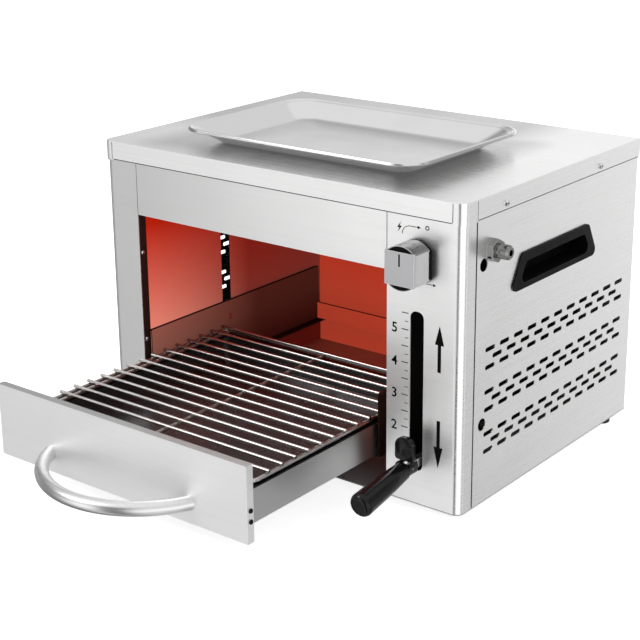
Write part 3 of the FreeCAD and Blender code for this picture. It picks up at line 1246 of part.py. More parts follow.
def build():
    fillSheets()
    basePlate()
    feet()
    footScrews()
    sidePanel("left_side_panel", -1)
    sidePanel("right_side_panel", 1)
    rearPanel()
    topCover()
    cornerStrips()
    coverScrews()
    leftColumn()
    columnRivets()
    frontFascia()
    controlPanel()
    gripCup("left_grip_cup", -1)
    gripCup("right_grip_cup", 1)
    linerWall("liner_left", "linerLeftX - sheetGauge", "leftSlotBottom")
    linerWall("liner_right", "linerRightX", "rightSlotBottom")
    linerRear()
    ceilingPlate()
    burnerHousing()
    burnerTiles()
    tileRetainer()
    mixingTube()
    gasJet()
    gasValve()
    valveBracket()
    inletFitting()
    inletNut()
    inletPipe()
    burnerPipe()
    burnerProbe("igniter_electrode", 0, "probeTip")
    burnerProbe("thermocouple", 1, "probeTip + probeTipStep")
    notchRack()
    carriagePlate("carriage_left_plate", -1, "carriageLeftX")
    carriagePlate("carriage_right_plate", 1, "carriageRightX")
    carriageRear()
    guideRollers()
    liftArm()
    leverBar()
    leverCollar()
    leverGrip()
    paddlePin()
    latchTongue()
    thumbPaddle()
    drawerFront()
    drawerSide("drawer_left_side", -1, "-drawerLeft")
    drawerSide("drawer_right_side", 1, "drawerRightX")
    drawerRear()
    drawerHandle()
    handleScrews()
    drawerScrews()
    dripPan()
    grateFrame()
    grateRods()
    servingTray()
    thrustWasher()
    valveStem()
    knobBody()
    knobCap()
    doc.recompute()


def checkAndWrite():
    faults = []
    for item in doc.Objects:
        if any(state in ("Invalid", "Error") for state in item.State):
            faults.append(f"{item.Label}: {item.State}")
    for item in doc.Objects:
        if item.TypeId in ("PartDesign::Pocket", "PartDesign::Groove", "PartDesign::SubtractiveLoft"):
            if not item.BaseFeature or item.Shape.Volume > item.BaseFeature.Shape.Volume - 1e-3:
                faults.append(f"{item.Label} cuts nothing")
    for body in subParts:
        if body.Shape.isNull() or not body.Shape.isValid():
            faults.append(f"{body.Label}: bad shape")
    if faults:
        raise RuntimeError("; ".join(faults))
    os.makedirs("parts", exist_ok=True)
    for body in subParts:
        body.Shape.exportStep(f"parts/{body.Label}.step")
    print(len(subParts), "sub-parts written")


build()
checkAndWrite()
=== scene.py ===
import json
import math
import bmesh
import bpy
from mathutils import Matrix, Vector


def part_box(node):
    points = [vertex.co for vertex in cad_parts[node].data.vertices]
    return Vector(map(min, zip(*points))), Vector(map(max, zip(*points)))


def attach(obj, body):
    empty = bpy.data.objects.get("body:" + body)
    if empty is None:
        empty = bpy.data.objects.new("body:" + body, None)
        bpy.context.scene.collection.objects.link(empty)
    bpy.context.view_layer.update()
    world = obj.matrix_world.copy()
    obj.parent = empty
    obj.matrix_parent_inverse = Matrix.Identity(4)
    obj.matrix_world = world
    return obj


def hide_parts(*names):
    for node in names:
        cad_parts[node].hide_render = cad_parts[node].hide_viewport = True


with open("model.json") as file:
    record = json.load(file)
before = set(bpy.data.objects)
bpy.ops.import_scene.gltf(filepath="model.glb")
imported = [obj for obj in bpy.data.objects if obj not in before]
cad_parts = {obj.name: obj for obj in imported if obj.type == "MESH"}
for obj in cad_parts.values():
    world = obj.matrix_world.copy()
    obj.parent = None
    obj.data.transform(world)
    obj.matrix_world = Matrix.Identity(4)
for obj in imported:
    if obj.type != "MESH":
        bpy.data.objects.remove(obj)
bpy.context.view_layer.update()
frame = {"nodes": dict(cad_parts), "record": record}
nodes = frame["nodes"]
slotOf = {row["node"]: row["material_slot"] for row in frame["record"]["subparts"]}
print("frame loaded:", len(nodes), "pieces")

mm = 0.001
housingX, housingY = -9.5, 139.0   # middle of the housing in the part's frame, mm


def spot(x, y, z):   # a place given from the middle of the housing, in mm
    return Vector(((x + housingX) * mm, (y + housingY) * mm, z * mm))


def node(tree, kind, **values):
    made = tree.nodes.new(kind)
    for key, value in values.items():
        setattr(made, key, value)
    return made


def wire(tree, fromSocket, toSocket):
    tree.links.new(fromSocket, toSocket)


def feed(tree, value, socket):   # a number, a colour or another node's output
    if isinstance(value, (int, float)):
        socket.default_value = value
    elif isinstance(value, (tuple, list)):
        socket.default_value = (*value[:3], 1)
    elif value is not None:
        wire(tree, value, socket)


def sums(tree, operation, a, b=None, clamp=False):   # one Math node
    made = node(tree, "ShaderNodeMath", operation=operation, use_clamp=clamp)
    if operation == "WRAP":   # between -b and b
        made.inputs[2].default_value = -b
    for socket, value in zip(made.inputs, (a, b)):
        feed(tree, value, socket)
    return made.outputs[0]


def product(tree, first, *others):
    for value in others:
        first = sums(tree, "MULTIPLY", first, value)
    return first


def spread(tree, value, low, high, toLow=0.0, toHigh=1.0):   # map a range, clamped
    made = node(tree, "ShaderNodeMapRange", clamp=True)
    wire(tree, value, made.inputs["Value"])
    for name, limit in zip(("From Min", "From Max", "To Min", "To Max"), (low, high, toLow, toHigh)):
        feed(tree, limit, made.inputs[name])
    return made.outputs["Result"]


def blendColour(tree, mask, first, second, mode="MIX"):
    made = node(tree, "ShaderNodeMix", data_type="RGBA", blend_type=mode)
    for name, value in (("Factor", mask), ("A", first), ("B", second)):
        feed(tree, value, [s for s in made.inputs if s.name == name and s.enabled][0])
    return [s for s in made.outputs if s.enabled][0]


def partsOf(tree, vector):   # outputs X, Y and Z of a vector
    made = node(tree, "ShaderNodeSeparateXYZ")
    wire(tree, vector, made.inputs[0])
    return made.outputs


def facingOf(tree, normal="True Normal"):   # which way a face looks
    return partsOf(tree, node(tree, "ShaderNodeNewGeometry").outputs[normal])


def noise(tree, vector, scale, detail=3.0, roughness=0.55):
    made = node(tree, "ShaderNodeTexNoise")
    for name, value in (("Scale", scale), ("Detail", detail), ("Roughness", roughness), ("Vector", vector)):
        feed(tree, value, made.inputs[name])
    return made.outputs["Fac"]


def stretched(tree, vector, scale):
    made = node(tree, "ShaderNodeMapping")
    made.inputs["Scale"].default_value = scale
    wire(tree, vector, made.inputs["Vector"])
    return made.outputs["Vector"]


floatKind, vectorKind, colourKind = "NodeSocketFloat", "NodeSocketVector", "NodeSocketColor"


def groupOf(name, inputs, outputs):   # an empty shader group with its sockets
    tree = bpy.data.node_groups.new(name, "ShaderNodeTree")
    tree.interface.new_socket("Vector", in_out="INPUT", socket_type=vectorKind)
    for label, kind, default in inputs:
        tree.interface.new_socket(label, in_out="INPUT", socket_type=kind).default_value = default
    for label, kind in outputs:
        tree.interface.new_socket(label, in_out="OUTPUT", socket_type=kind)
    return tree, node(tree, "NodeGroupInput").outputs, node(tree, "NodeGroupOutput").inputs


grainLook = {"lying": (0.6, 0.8),
             "waves": (("Grain", 9, 1500, 2.0), ("Streaks", 2.5, 260, 3.0))}   # scale along and across, detail


def makeBrushGrain():   # fine straight grain, along each sheet's length
    tree, given, put = groupOf("brushGrain", [], [("Grain", floatKind), ("Streaks", floatKind)])
    lying = spread(tree, sums(tree, "ABSOLUTE", facingOf(tree)["Z"]), *grainLook["lying"])
    for label, along, across, detail in grainLook["waves"]:
        both = node(tree, "ShaderNodeMix")
        wire(tree, lying, both.inputs[0])
        for socket, scale in ((2, (along, along, across)), (3, (along, across, along))):
            grain = stretched(tree, given["Vector"], scale)
            wire(tree, noise(tree, grain, 1.0, detail, 0.6), both.inputs[socket])
        wire(tree, both.outputs[0], put[label])
    return tree


edgeLook = {"radius": 0.0011, "samples": 4, "bend": (0.97, 0.75), "patchScale": 160.0, "patches": (0.3, 0.62)}


def makeEdgeWearAndHighlight():   # painted highlight and wear: where a fold or a cut edge catches the light, in patches unless Even is set
    tree, given, put = groupOf("edgeWearAndHighlight", [("Strength", floatKind, 1.0), ("Even", floatKind, 0.0)],
                               [("Edge", floatKind)])
    softened = node(tree, "ShaderNodeBevel", samples=edgeLook["samples"])
    softened.inputs["Radius"].default_value = edgeLook["radius"]
    dot = node(tree, "ShaderNodeVectorMath", operation="DOT_PRODUCT")
    wire(tree, softened.outputs[0], dot.inputs[0])
    wire(tree, node(tree, "ShaderNodeNewGeometry").outputs["Normal"], dot.inputs[1])
    edge = spread(tree, dot.outputs["Value"], *edgeLook["bend"])
    patches = spread(tree, noise(tree, given["Vector"], edgeLook["patchScale"]), *edgeLook["patches"])
    wornAndLit = sums(tree, "MULTIPLY", edge, sums(tree, "MAXIMUM", patches, given["Even"]))
    wire(tree, sums(tree, "MULTIPLY", wornAndLit, given["Strength"], clamp=True), put["Edge"])
    return tree


handLook = {"detail": 4.0, "smudges": (0.38, 0.68), "speckScale": 420.0, "specks": (0.6, 0.78)}


def makeHandling():   # faint smudges and dust, uneven over a surface
    tree, given, put = groupOf("handling", [("Size", floatKind, 14.0)],
                               [("Smudge", floatKind), ("Dust", floatKind)])
    soft = noise(tree, given["Vector"], given["Size"], handLook["detail"], 0.5)
    wire(tree, spread(tree, soft, *handLook["smudges"]), put["Smudge"])
    speck = noise(tree, given["Vector"], handLook["speckScale"], 2.0)
    wire(tree, spread(tree, speck, *handLook["specks"]), put["Dust"])
    return tree


heatLook = {"cloudScale": 11.0, "waver": 0.07,   # each tint's place, from 0 for cool to 1 for hot
            "tints": ((0.0, (1, 1, 1)), (1.0, (0.52, 0.46, 0.46)), (0.35, (1.0, 0.94, 0.80)),
                      (0.6, (0.90, 0.72, 0.50)), (0.82, (0.62, 0.46, 0.46)))}


def makeHeatTint():   # straw, brown and blue bands where steel has been hot
    tree, given, put = groupOf("heatTint",
                               [("Cool Height", floatKind, 0.15), ("Hot Height", floatKind, 0.30),
                                ("Base", colourKind, (0.6, 0.6, 0.6, 1))], [("Colour", colourKind)])
    cloud = noise(tree, given["Vector"], heatLook["cloudScale"], 4.0)
    waver = sums(tree, "MULTIPLY", sums(tree, "SUBTRACT", cloud, 0.5), heatLook["waver"])
    height = sums(tree, "ADD", partsOf(tree, given["Vector"])["Z"], waver)
    heat = spread(tree, height, given["Cool Height"], given["Hot Height"])
    ramp = node(tree, "ShaderNodeValToRGB")
    stops = ramp.color_ramp.elements
    for index, (position, tint) in enumerate(heatLook["tints"]):
        stop = stops[index] if index < 2 else stops.new(position)
        stop.position, stop.color = position, (*tint, 1)
    wire(tree, heat, ramp.inputs[0])
    wire(tree, blendColour(tree, 1.0, given["Base"], ramp.outputs["Color"], "MULTIPLY"), put["Colour"])
    return tree


groups = {"brushGrain": makeBrushGrain(), "edgeWearAndHighlight": makeEdgeWearAndHighlight(),
          "handling": makeHandling(), "heatTint": makeHeatTint()}
print("shared surface effects made:", ", ".join(groups))


def place(tree, name, vector, **values):   # puts a shared effect into a material
    made = node(tree, "ShaderNodeGroup", node_tree=groups[name])
    wire(tree, vector, made.inputs["Vector"])
    for key, value in values.items():
        made.inputs[key.replace("_", " ")].default_value = value
    return made.outputs


def blankMaterial(name):
    made = bpy.data.materials.new(name)
    made.use_nodes = True
    tree = made.node_tree
    tree.nodes.clear()
    shader = node(tree, "ShaderNodeBsdfPrincipled")
    wire(tree, shader.outputs[0], node(tree, "ShaderNodeOutputMaterial").inputs[0])
    return made, tree, shader, node(tree, "ShaderNodeTexCoord").outputs["Object"]


def bumped(tree, shader, height, strength, distance=0.0002):
    made = node(tree, "ShaderNodeBump")
    for name, value in (("Strength", strength), ("Distance", distance), ("Height", height)):
        feed(tree, value, made.inputs[name])
    wire(tree, made.outputs[0], shader.inputs["Normal"])


def roughened(tree, shader, vector, smudge, look):   # smudged roughness and a fine uneven skin
    rough = sums(tree, "ADD", sums(tree, "MULTIPLY", smudge, look["smudge"]), look["rough"])
    wire(tree, rough, shader.inputs["Roughness"])
    bumped(tree, shader, noise(tree, vector, look["pebble"], 2.0), look["bump"])


shadeGrey = (0.25, 0.25, 0.25)
cabinetLook = {   # a place in metres or a face's direction: from, to, and the amount at each
    "left": (0.10, -0.20, 0.0, 0.36), "underCover": (0.331, 0.329), "front": (-0.9, -0.98),
    "round": (0.0, 0.046, 0.50, 0.0), "rear": (0.05, 0.14, 0.0, 0.55), "rearLeft": (0.16, 0.10),
    "top": (0.9, 0.98), "trayShift": -0.012}


def cabinetShades(tree, vector, turned, coloured):   # broad shades that the room leaves on the cabinet
    parts = partsOf(tree, vector)
    left = spread(tree, parts["X"], *cabinetLook["left"])
    under = spread(tree, parts["Z"], *cabinetLook["underCover"])
    front = product(tree, left, under, spread(tree, turned["Y"], *cabinetLook["front"]))
    coloured = blendColour(tree, front, coloured, shadeGrey)
    low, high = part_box("serving_tray")
    gaps = []
    for index, shift in ((0, cabinetLook["trayShift"]), (1, 0.0)):   # how far a place is from the tray
        centre, half = (low[index] + high[index]) / 2 + shift, (high[index] - low[index]) / 2
        off = sums(tree, "ABSOLUTE", sums(tree, "SUBTRACT", parts[index], centre))
        gap = sums(tree, "MAXIMUM", sums(tree, "SUBTRACT", off, half), 0.0)
        gaps.append(sums(tree, "MULTIPLY", gap, gap))
    near = spread(tree, sums(tree, "SQRT", sums(tree, "ADD", *gaps)), *cabinetLook["round"])
    rear = product(tree, spread(tree, parts["Y"], *cabinetLook["rear"]),
                   spread(tree, parts["X"], *cabinetLook["rearLeft"]))
    top = product(tree, sums(tree, "MAXIMUM", near, rear), spread(tree, turned["Z"], *cabinetLook["top"]))
    return blendColour(tree, top, coloured, shadeGrey)


glowLook = {"pale": (0.25, 0.09), "foot": (0.050, 0.095), "faces": (0.2, 0.6), "unseen": 0.38}


def wallGlow(tree, shader, vector, look, coloured):   # painted light: red of the burner on the walls round it, given as a glow; faces turned away get painted shade
    parts, facing = partsOf(tree, vector), facingOf(tree)
    sign, axis = look["inward"]
    shown = spread(tree, facing[axis], *(limit if sign == "+" else -limit for limit in glowLook["faces"]))
    height = spread(tree, parts["Z"], *look["glowHeights"])
    depth = spread(tree, parts["Y"], *look["glowDepths"])
    foot = spread(tree, parts["Z"], *glowLook["foot"], look["footGlow"], 1.0)   # shaded by the carriage
    path = node(tree, "ShaderNodeLightPath")
    seen = spread(tree, path.outputs["Is Camera Ray"], 0, 1, glowLook["unseen"], 1.0)
    amount = product(tree, height, depth, shown, foot, seen)
    lit = blendColour(tree, spread(tree, parts["Z"], *glowLook["pale"]), look["glowDeep"], look["glow"])
    wire(tree, blendColour(tree, amount, (0, 0, 0), lit), shader.inputs["Emission Color"])
    shader.inputs["Emission Strength"].default_value = look["glowStrength"]
    # faces that look away from the cavity take the painted shade colour
    return blendColour(tree, shown, look["backShade"], coloured), sums(tree, "MULTIPLY", shown, look["metal"])


sheetLook = {"grain": (0.25, 0.75), "front": (-0.93, -0.99), "top": (0.8, 0.95)}   # ranges that count


def sheetSteel(name, look):   # brushed or drawn sheet with grain, smudges and bright edges
    made, tree, shader, vector = blankMaterial(name)
    grain = place(tree, "brushGrain", vector)
    hand = place(tree, "handling", vector, Size=look["smudgeSize"])
    edge = place(tree, "edgeWearAndHighlight", vector, Strength=look["edge"])["Edge"]
    base = look["colour"]
    if "hot" in look:
        cool, hot = look["hot"]
        base = place(tree, "heatTint", vector, Cool_Height=cool, Hot_Height=hot, Base=(*base, 1))["Colour"]
    dark = tuple(c * look["grainDark"] for c in look["colour"])
    line = spread(tree, grain["Grain"], *look["lines"], look["grainDepth"], 0.0)
    broad = spread(tree, grain["Streaks"], *look["streaks"], 0.0, look["streakDepth"])
    coloured = blendColour(tree, broad, blendColour(tree, line, base, dark), dark)
    coloured = blendColour(tree, edge, coloured, look["edgeColour"])
    less, more = look["roughStep"]
    rough = spread(tree, grain["Grain"], *sheetLook["grain"], look["rough"] - less, look["rough"] + more)
    rough = sums(tree, "ADD", rough, sums(tree, "MULTIPLY", hand["Smudge"], look["smudge"]))
    metal = look.get("metal", 1.0)
    if "faceRough" in look:   # a front mirrors its surroundings less sharply, a top gets painted shade
        turned = facingOf(tree, "Normal")
        frontal = spread(tree, turned["Y"], *sheetLook["front"], 0.0, look["faceRough"])
        rough = sums(tree, "ADD", rough, frontal)
        lying = spread(tree, turned["Z"], *sheetLook["top"], 0.0, look["topShade"])
        coloured = blendColour(tree, lying, coloured, shadeGrey)
        if look.get("cabinet"):
            coloured = cabinetShades(tree, vector, turned, coloured)
    if "glow" in look:
        coloured, metal = wallGlow(tree, shader, vector, look, coloured)
    for label, value in (("Base Color", coloured), ("Roughness", rough), ("Metallic", metal),
                         ("Specular IOR Level", look.get("shine", 0.5))):
        feed(tree, value, shader.inputs[label])
    bumped(tree, shader, grain["Grain"], look["bump"])
    return made


def smoothMetal(name, look):   # plated, turned or polished metal
    made, tree, shader, vector = blankMaterial(name)
    hand = place(tree, "handling", vector, Size=look["smudgeSize"])
    edge = place(tree, "edgeWearAndHighlight", vector, Strength=look["edge"], Even=look.get("even", 0.0))["Edge"]
    stained = spread(tree, hand["Smudge"], 0, 1, 0, look["stain"])
    coloured = blendColour(tree, stained, look["colour"], look["stainColour"])
    coloured = blendColour(tree, edge, coloured, look["edgeColour"])
    if "shadeAbove" in look:   # painted shade: black from this height up
        above = spread(tree, partsOf(tree, vector)["Z"], *look["shadeAbove"])
        coloured = blendColour(tree, above, coloured, look["shadeColour"])
    wire(tree, coloured, shader.inputs["Base Color"])
    shader.inputs["Metallic"].default_value = look.get("metal", 1.0)
    shader.inputs["Specular IOR Level"].default_value = look.get("shine", 0.5)
    if "bounce" in look:   # painted bounce light: a glow on faces that look down, for light thrown back up under an edge
        below = spread(tree, facingOf(tree)["Z"], *look["underside"])
        wire(tree, blendColour(tree, below, (0, 0, 0), look["bounce"]), shader.inputs["Emission Color"])
        shader.inputs["Emission Strength"].default_value = 1.0
    roughened(tree, shader, vector, hand["Smudge"], look)
    return made


def knobPlate(name, look):   # silver plating with painted shade: darker on its top and where it faces the cook
    made = smoothMetal(name, look)
    tree = made.node_tree
    socket = [n for n in tree.nodes if n.type == "BSDF_PRINCIPLED"][0].inputs["Base Color"]
    facing = facingOf(tree)
    upper = spread(tree, facing["Z"], *look["topFaces"])
    front = spread(tree, facing["Y"], *look["frontFaces"])
    topped = blendColour(tree, upper, socket.links[0].from_socket, look["topColour"])
    wire(tree, blendColour(tree, front, topped, look["faceColour"]), socket)
    return made


def moulded(name, look):   # plastic, rubber, paint
    made, tree, shader, vector = blankMaterial(name)
    hand = place(tree, "handling", vector, Size=look["smudgeSize"])
    edge = place(tree, "edgeWearAndHighlight", vector, Strength=look["edge"])["Edge"]
    dusty = sums(tree, "MULTIPLY", hand["Dust"], look["dust"])
    coloured = blendColour(tree, dusty, look["colour"], look["dustColour"])
    wire(tree, blendColour(tree, edge, coloured, look["edgeColour"]), shader.inputs["Base Color"])
    for label, value in (("Metallic", 0.0), ("Specular IOR Level", look.get("shine", 0.4)),
                         ("Coat Weight", look.get("coat", 0.0)),
                         ("Coat Roughness", look.get("coatRough", 0.05))):
        shader.inputs[label].default_value = value
    roughened(tree, shader, vector, hand["Smudge"], look)
    return made


def glowingTile(name, look):   # perforated ceramic, red hot, brighter in the holes' rims
    made, tree, shader, vector = blankMaterial(name)
    cells = node(tree, "ShaderNodeTexVoronoi", feature="F1")
    for label, value in (("Scale", look["holesPerMetre"]), ("Randomness", 0.0), ("Vector", vector)):
        feed(tree, value, cells.inputs[label])
    hole = spread(tree, cells.outputs["Distance"], look["holeEdge"], look["holeEdge"] * look["holeRim"])
    cloud = spread(tree, noise(tree, vector, look["cloudSize"]), *look["clouds"])
    hot = blendColour(tree, cloud, look["dimGlow"], look["brightGlow"])
    wire(tree, blendColour(tree, hole, hot, look["holeGlow"]), shader.inputs["Emission Color"])
    path = node(tree, "ShaderNodeLightPath")
    strength = spread(tree, path.outputs["Is Glossy Ray"], 0, 1, look["strength"], look["mirroredStrength"])
    wire(tree, strength, shader.inputs["Emission Strength"])
    wire(tree, blendColour(tree, hole, look["colour"], look["holeColour"]), shader.inputs["Base Color"])
    shader.inputs["Roughness"].default_value = look["rough"]
    bumped(tree, shader, cells.outputs["Distance"], *look["dent"])
    return made


steelLook = {
    "colour": (0.92, 0.92, 0.917), "grainDark": 0.78, "grainDepth": 0.17, "streakDepth": 0.12,
    "rough": 0.26, "smudge": 0.06, "smudgeSize": 9.0, "bump": 0.07, "edge": 0.8,
    "edgeColour": (0.92, 0.92, 0.92), "lines": (0.3, 0.7), "streaks": (0.35, 0.7), "roughStep": (0.05, 0.07)}
finishes = {   # by the CAD's own slots
    "brushed_panel": sheetSteel("brushedStainless", {
        **steelLook, "faceRough": 0.13, "topShade": 0.04, "cabinet": True}),
    "drawer_steel": sheetSteel("brushedDrawerSteel", {
        **steelLook, "colour": (0.93, 0.93, 0.93), "rough": 0.40, "grainDepth": 0.14, "bump": 0.05,
        "faceRough": 0.08, "topShade": 0.6}),
    "handle_steel": sheetSteel("satinTube", {
        **steelLook, "colour": (0.74, 0.74, 0.74), "rough": 0.27, "bump": 0.06, "grainDepth": 0.25,
        "edge": 0.3}),
    "liner_steel": sheetSteel("heatedSheet", {
        **steelLook, "colour": (0.55, 0.50, 0.47), "hot": (0.14, 0.34), "rough": 0.38, "edge": 0.2}),
    "bracket_steel": sheetSteel("plainSheet", {
        **steelLook, "colour": (0.42, 0.42, 0.42), "rough": 0.36}),
    "base_paint": moulded("darkBasePaint", {
        "colour": (0.42, 0.42, 0.422), "dust": 0.25, "dustColour": (0.3, 0.3, 0.3), "edge": 0.5,
        "edgeColour": (0.35, 0.35, 0.35), "rough": 0.35, "smudge": 0.12, "smudgeSize": 12.0,
        "pebble": 900.0, "bump": 0.15}),
    "foot_rubber": moulded("blackRubber", {
        "colour": (0.025, 0.025, 0.025), "dust": 0.5, "dustColour": (0.12, 0.12, 0.12), "edge": 0.4,
        "edgeColour": (0.08, 0.08, 0.08), "rough": 0.6, "smudge": 0.15, "smudgeSize": 40.0,
        "pebble": 1500.0, "bump": 0.25}),
    "black_gloss": moulded("glossBlackPlastic", {
        "colour": (0.006, 0.006, 0.0065), "dust": 0.05, "dustColour": (0.06, 0.06, 0.06), "edge": 0.25,
        "edgeColour": (0.06, 0.06, 0.06), "rough": 0.16, "smudge": 0.10, "smudgeSize": 30.0,
        "pebble": 700.0, "bump": 0.02, "shine": 0.18, "coat": 0.12, "coatRough": 0.05}),
    "grip_plastic": moulded("satinBlackPlastic", {
        "colour": (0.005, 0.005, 0.0053), "dust": 0.05, "dustColour": (0.07, 0.07, 0.07), "edge": 0.5,
        "edgeColour": (0.12, 0.12, 0.12), "rough": 0.4, "smudge": 0.12, "shine": 0.05, "smudgeSize": 25.0,
        "pebble": 1400.0, "bump": 0.18}),
    "fastener_steel": smoothMetal("brightFasteners", {
        "colour": (0.74, 0.74, 0.74), "stain": 0.3, "stainColour": (0.5, 0.5, 0.5), "edge": 0.5,
        "edgeColour": (0.95, 0.95, 0.95), "rough": 0.2, "smudge": 0.1, "smudgeSize": 60.0, "pebble": 900.0,
        "bump": 0.05}),
    "knob_metal": knobPlate("silverKnobCap", {
        "colour": (0.60, 0.60, 0.61), "stain": 0.15, "faceColour": (0.24, 0.24, 0.245),
        "topColour": (0.14, 0.14, 0.14), "stainColour": (0.5, 0.5, 0.5), "edge": 0.9, "even": 1.0,
        "edgeColour": (0.95, 0.95, 0.95), "rough": 0.18, "smudge": 0.04, "smudgeSize": 50.0,
        "pebble": 2500.0, "bump": 0.02, "topFaces": (0.55, 0.75, 0.0, 0.8),
        "frontFaces": (-0.85, -0.97, 0.0, 0.55)}),
    "grate_chrome": smoothMetal("brightWire", {
        "colour": (0.60, 0.585, 0.575), "stain": 0.35, "stainColour": (0.6, 0.52, 0.46), "edge": 0.0,
        "edgeColour": (0.95, 0.95, 0.95), "rough": 0.14, "smudge": 0.12, "smudgeSize": 35.0,
        "pebble": 500.0, "bump": 0.03}),
    "pan_steel": smoothMetal("drawnPan", {
        "metal": 0.85, "shine": 0.3, "colour": (0.13, 0.13, 0.132), "stain": 0.6,
        "stainColour": (0.10, 0.095, 0.09), "edge": 0.4, "edgeColour": (0.6, 0.6, 0.6), "rough": 0.19,
        "smudge": 0.14, "smudgeSize": 16.0, "pebble": 48.0, "bump": 0.5, "shadeAbove": (0.081, 0.084),
        "shadeColour": (0.012, 0.012, 0.012)}),
    "tray_steel": smoothMetal("polishedTray", {
        "bounce": (0.10, 0.10, 0.10), "underside": (-0.25, -0.6), "colour": (0.68, 0.68, 0.68),
        "stain": 0.2, "stainColour": (0.60, 0.60, 0.60), "edge": 0.0, "edgeColour": (0.95, 0.95, 0.95),
        "rough": 0.17, "smudge": 0.08, "smudgeSize": 14.0, "pebble": 45.0, "bump": 0.05}),
    "valve_metal": smoothMetal("castValve", {
        "colour": (0.55, 0.55, 0.56), "stain": 0.4, "stainColour": (0.36, 0.36, 0.36), "edge": 0.6,
        "edgeColour": (0.85, 0.85, 0.85), "rough": 0.42, "smudge": 0.1, "smudgeSize": 50.0,
        "pebble": 1500.0, "bump": 0.3}),
    "fitting_metal": smoothMetal("nickelFitting", {
        "colour": (0.24, 0.24, 0.238), "stain": 0.3, "stainColour": (0.17, 0.165, 0.16), "edge": 0.9,
        "even": 0.6, "edgeColour": (0.9, 0.9, 0.88), "rough": 0.09, "smudge": 0.10, "smudgeSize": 60.0,
        "pebble": 1200.0, "bump": 0.08}),
    "jet_brass": smoothMetal("turnedBrass", {
        "colour": (0.72, 0.52, 0.22), "stain": 0.3, "stainColour": (0.45, 0.3, 0.12), "edge": 0.6,
        "edgeColour": (0.95, 0.8, 0.45), "rough": 0.24, "smudge": 0.1, "smudgeSize": 60.0, "pebble": 1200.0,
        "bump": 0.06}),
    "pipe_copper": smoothMetal("drawnCopper", {
        "colour": (0.70, 0.36, 0.22), "stain": 0.4, "stainColour": (0.36, 0.2, 0.13), "edge": 0.2,
        "edgeColour": (0.9, 0.6, 0.45), "rough": 0.26, "smudge": 0.14, "smudgeSize": 40.0, "pebble": 900.0,
        "bump": 0.06}),
    "probe_ceramic": moulded("whiteCeramic", {
        "colour": (0.85, 0.82, 0.77), "dust": 0.4, "dustColour": (0.5, 0.42, 0.35), "edge": 0.2,
        "edgeColour": (0.95, 0.93, 0.9), "rough": 0.3, "smudge": 0.2, "smudgeSize": 80.0, "pebble": 800.0,
        "bump": 0.05}),
    "burner_ceramic": glowingTile("glowingCeramic", {
        "holesPerMetre": 420.0, "holeEdge": 0.42, "cloudSize": 26.0, "dimGlow": (1.0, 0.045, 0.012),
        "brightGlow": (1.0, 0.11, 0.02), "holeGlow": (1.0, 0.25, 0.06), "strength": 1.3,
        "colour": (0.7, 0.5, 0.36), "holeColour": (0.25, 0.12, 0.08), "mirroredStrength": 0.39,
        "holeRim": 0.6, "dent": (0.6, 0.0006), "clouds": (0.3, 0.7), "rough": 0.9}),
}
# painted shade: a darker copy of the drawer steel, for the drawer's sides
sideSteel = sheetSteel("shadedDrawerSides", {
    **steelLook, "colour": (0.52, 0.52, 0.52), "rough": 0.32, "bump": 0.05})
frameWire = smoothMetal("dullFrameWire", {
    "colour": (0.50, 0.49, 0.48), "stain": 0.35, "stainColour": (0.2, 0.18, 0.16), "edge": 0.0,
    "edgeColour": (0.9, 0.9, 0.9), "rough": 0.28, "smudge": 0.12, "smudgeSize": 35.0, "pebble": 500.0,
    "bump": 0.03})
knobBlack = moulded("satinBlackKnob", {
    "colour": (0.006, 0.006, 0.006), "dust": 0.05, "dustColour": (0.05, 0.05, 0.05), "edge": 0.2,
    "edgeColour": (0.05, 0.05, 0.05), "rough": 0.38, "smudge": 0.08, "shine": 0.04, "smudgeSize": 30.0,
    "pebble": 1500.0, "bump": 0.03})
# black print ink, also used to paint shade in screw recesses, gaps and seams
inkAndShadeBlack = moulded("printInkAndShadeBlack", {
    "colour": (0.006, 0.006, 0.006), "dust": 0.05, "dustColour": (0.1, 0.1, 0.1), "edge": 0.0,
    "edgeColour": (0, 0, 0), "rough": 0.5, "smudge": 0.1, "shine": 0.02, "smudgeSize": 60.0,
    "pebble": 2000.0, "bump": 0.02})
linerLook = {   # painted red burner light in the colour and the glow; glow by height and by depth, in metres from dull to bright or back
    **steelLook, "shine": 0.02, "colour": (0.46, 0.055, 0.025), "hot": (0.20, 0.42), "rough": 0.36,
    "edge": 0.2, "metal": 0.45, "backShade": (0.018, 0.017, 0.016), "glow": (1.0, 0.38, 0.28),
    "glowDeep": (0.80, 0.022, 0.005), "footGlow": 0.12, "glowStrength": 0.70,
    "glowHeights": (0.12, 0.29, 1.0, 0.52), "glowDepths": (-0.03, 0.15, 1.0, 0.10)}
deepWall = {   # painted red burner light over all the back wall
    "glowDepths": (-0.04, 0.40, 1.0, 0.75), "glow": (0.68, 0.08, 0.04), "footGlow": 0.9,
    "glowStrength": 0.62}
walls = {"liner_left": "+X", "liner_right": "-X",   # the way each faces into the cavity
         "liner_rear": "-Y", "ceiling_plate": "-Z"}
# painted shade: a near-black copy of the sheet steel, for the right carriage plate and the drawer screws in
# shade
plateBlack = sheetSteel("shadedBlackPlate", {
    **steelLook, "shine": 0.1, "colour": (0.022, 0.014, 0.012), "rough": 0.5, "edge": 0.1, "metal": 0.3,
    "edgeColour": (0.10, 0.05, 0.04), "bump": 0.1})
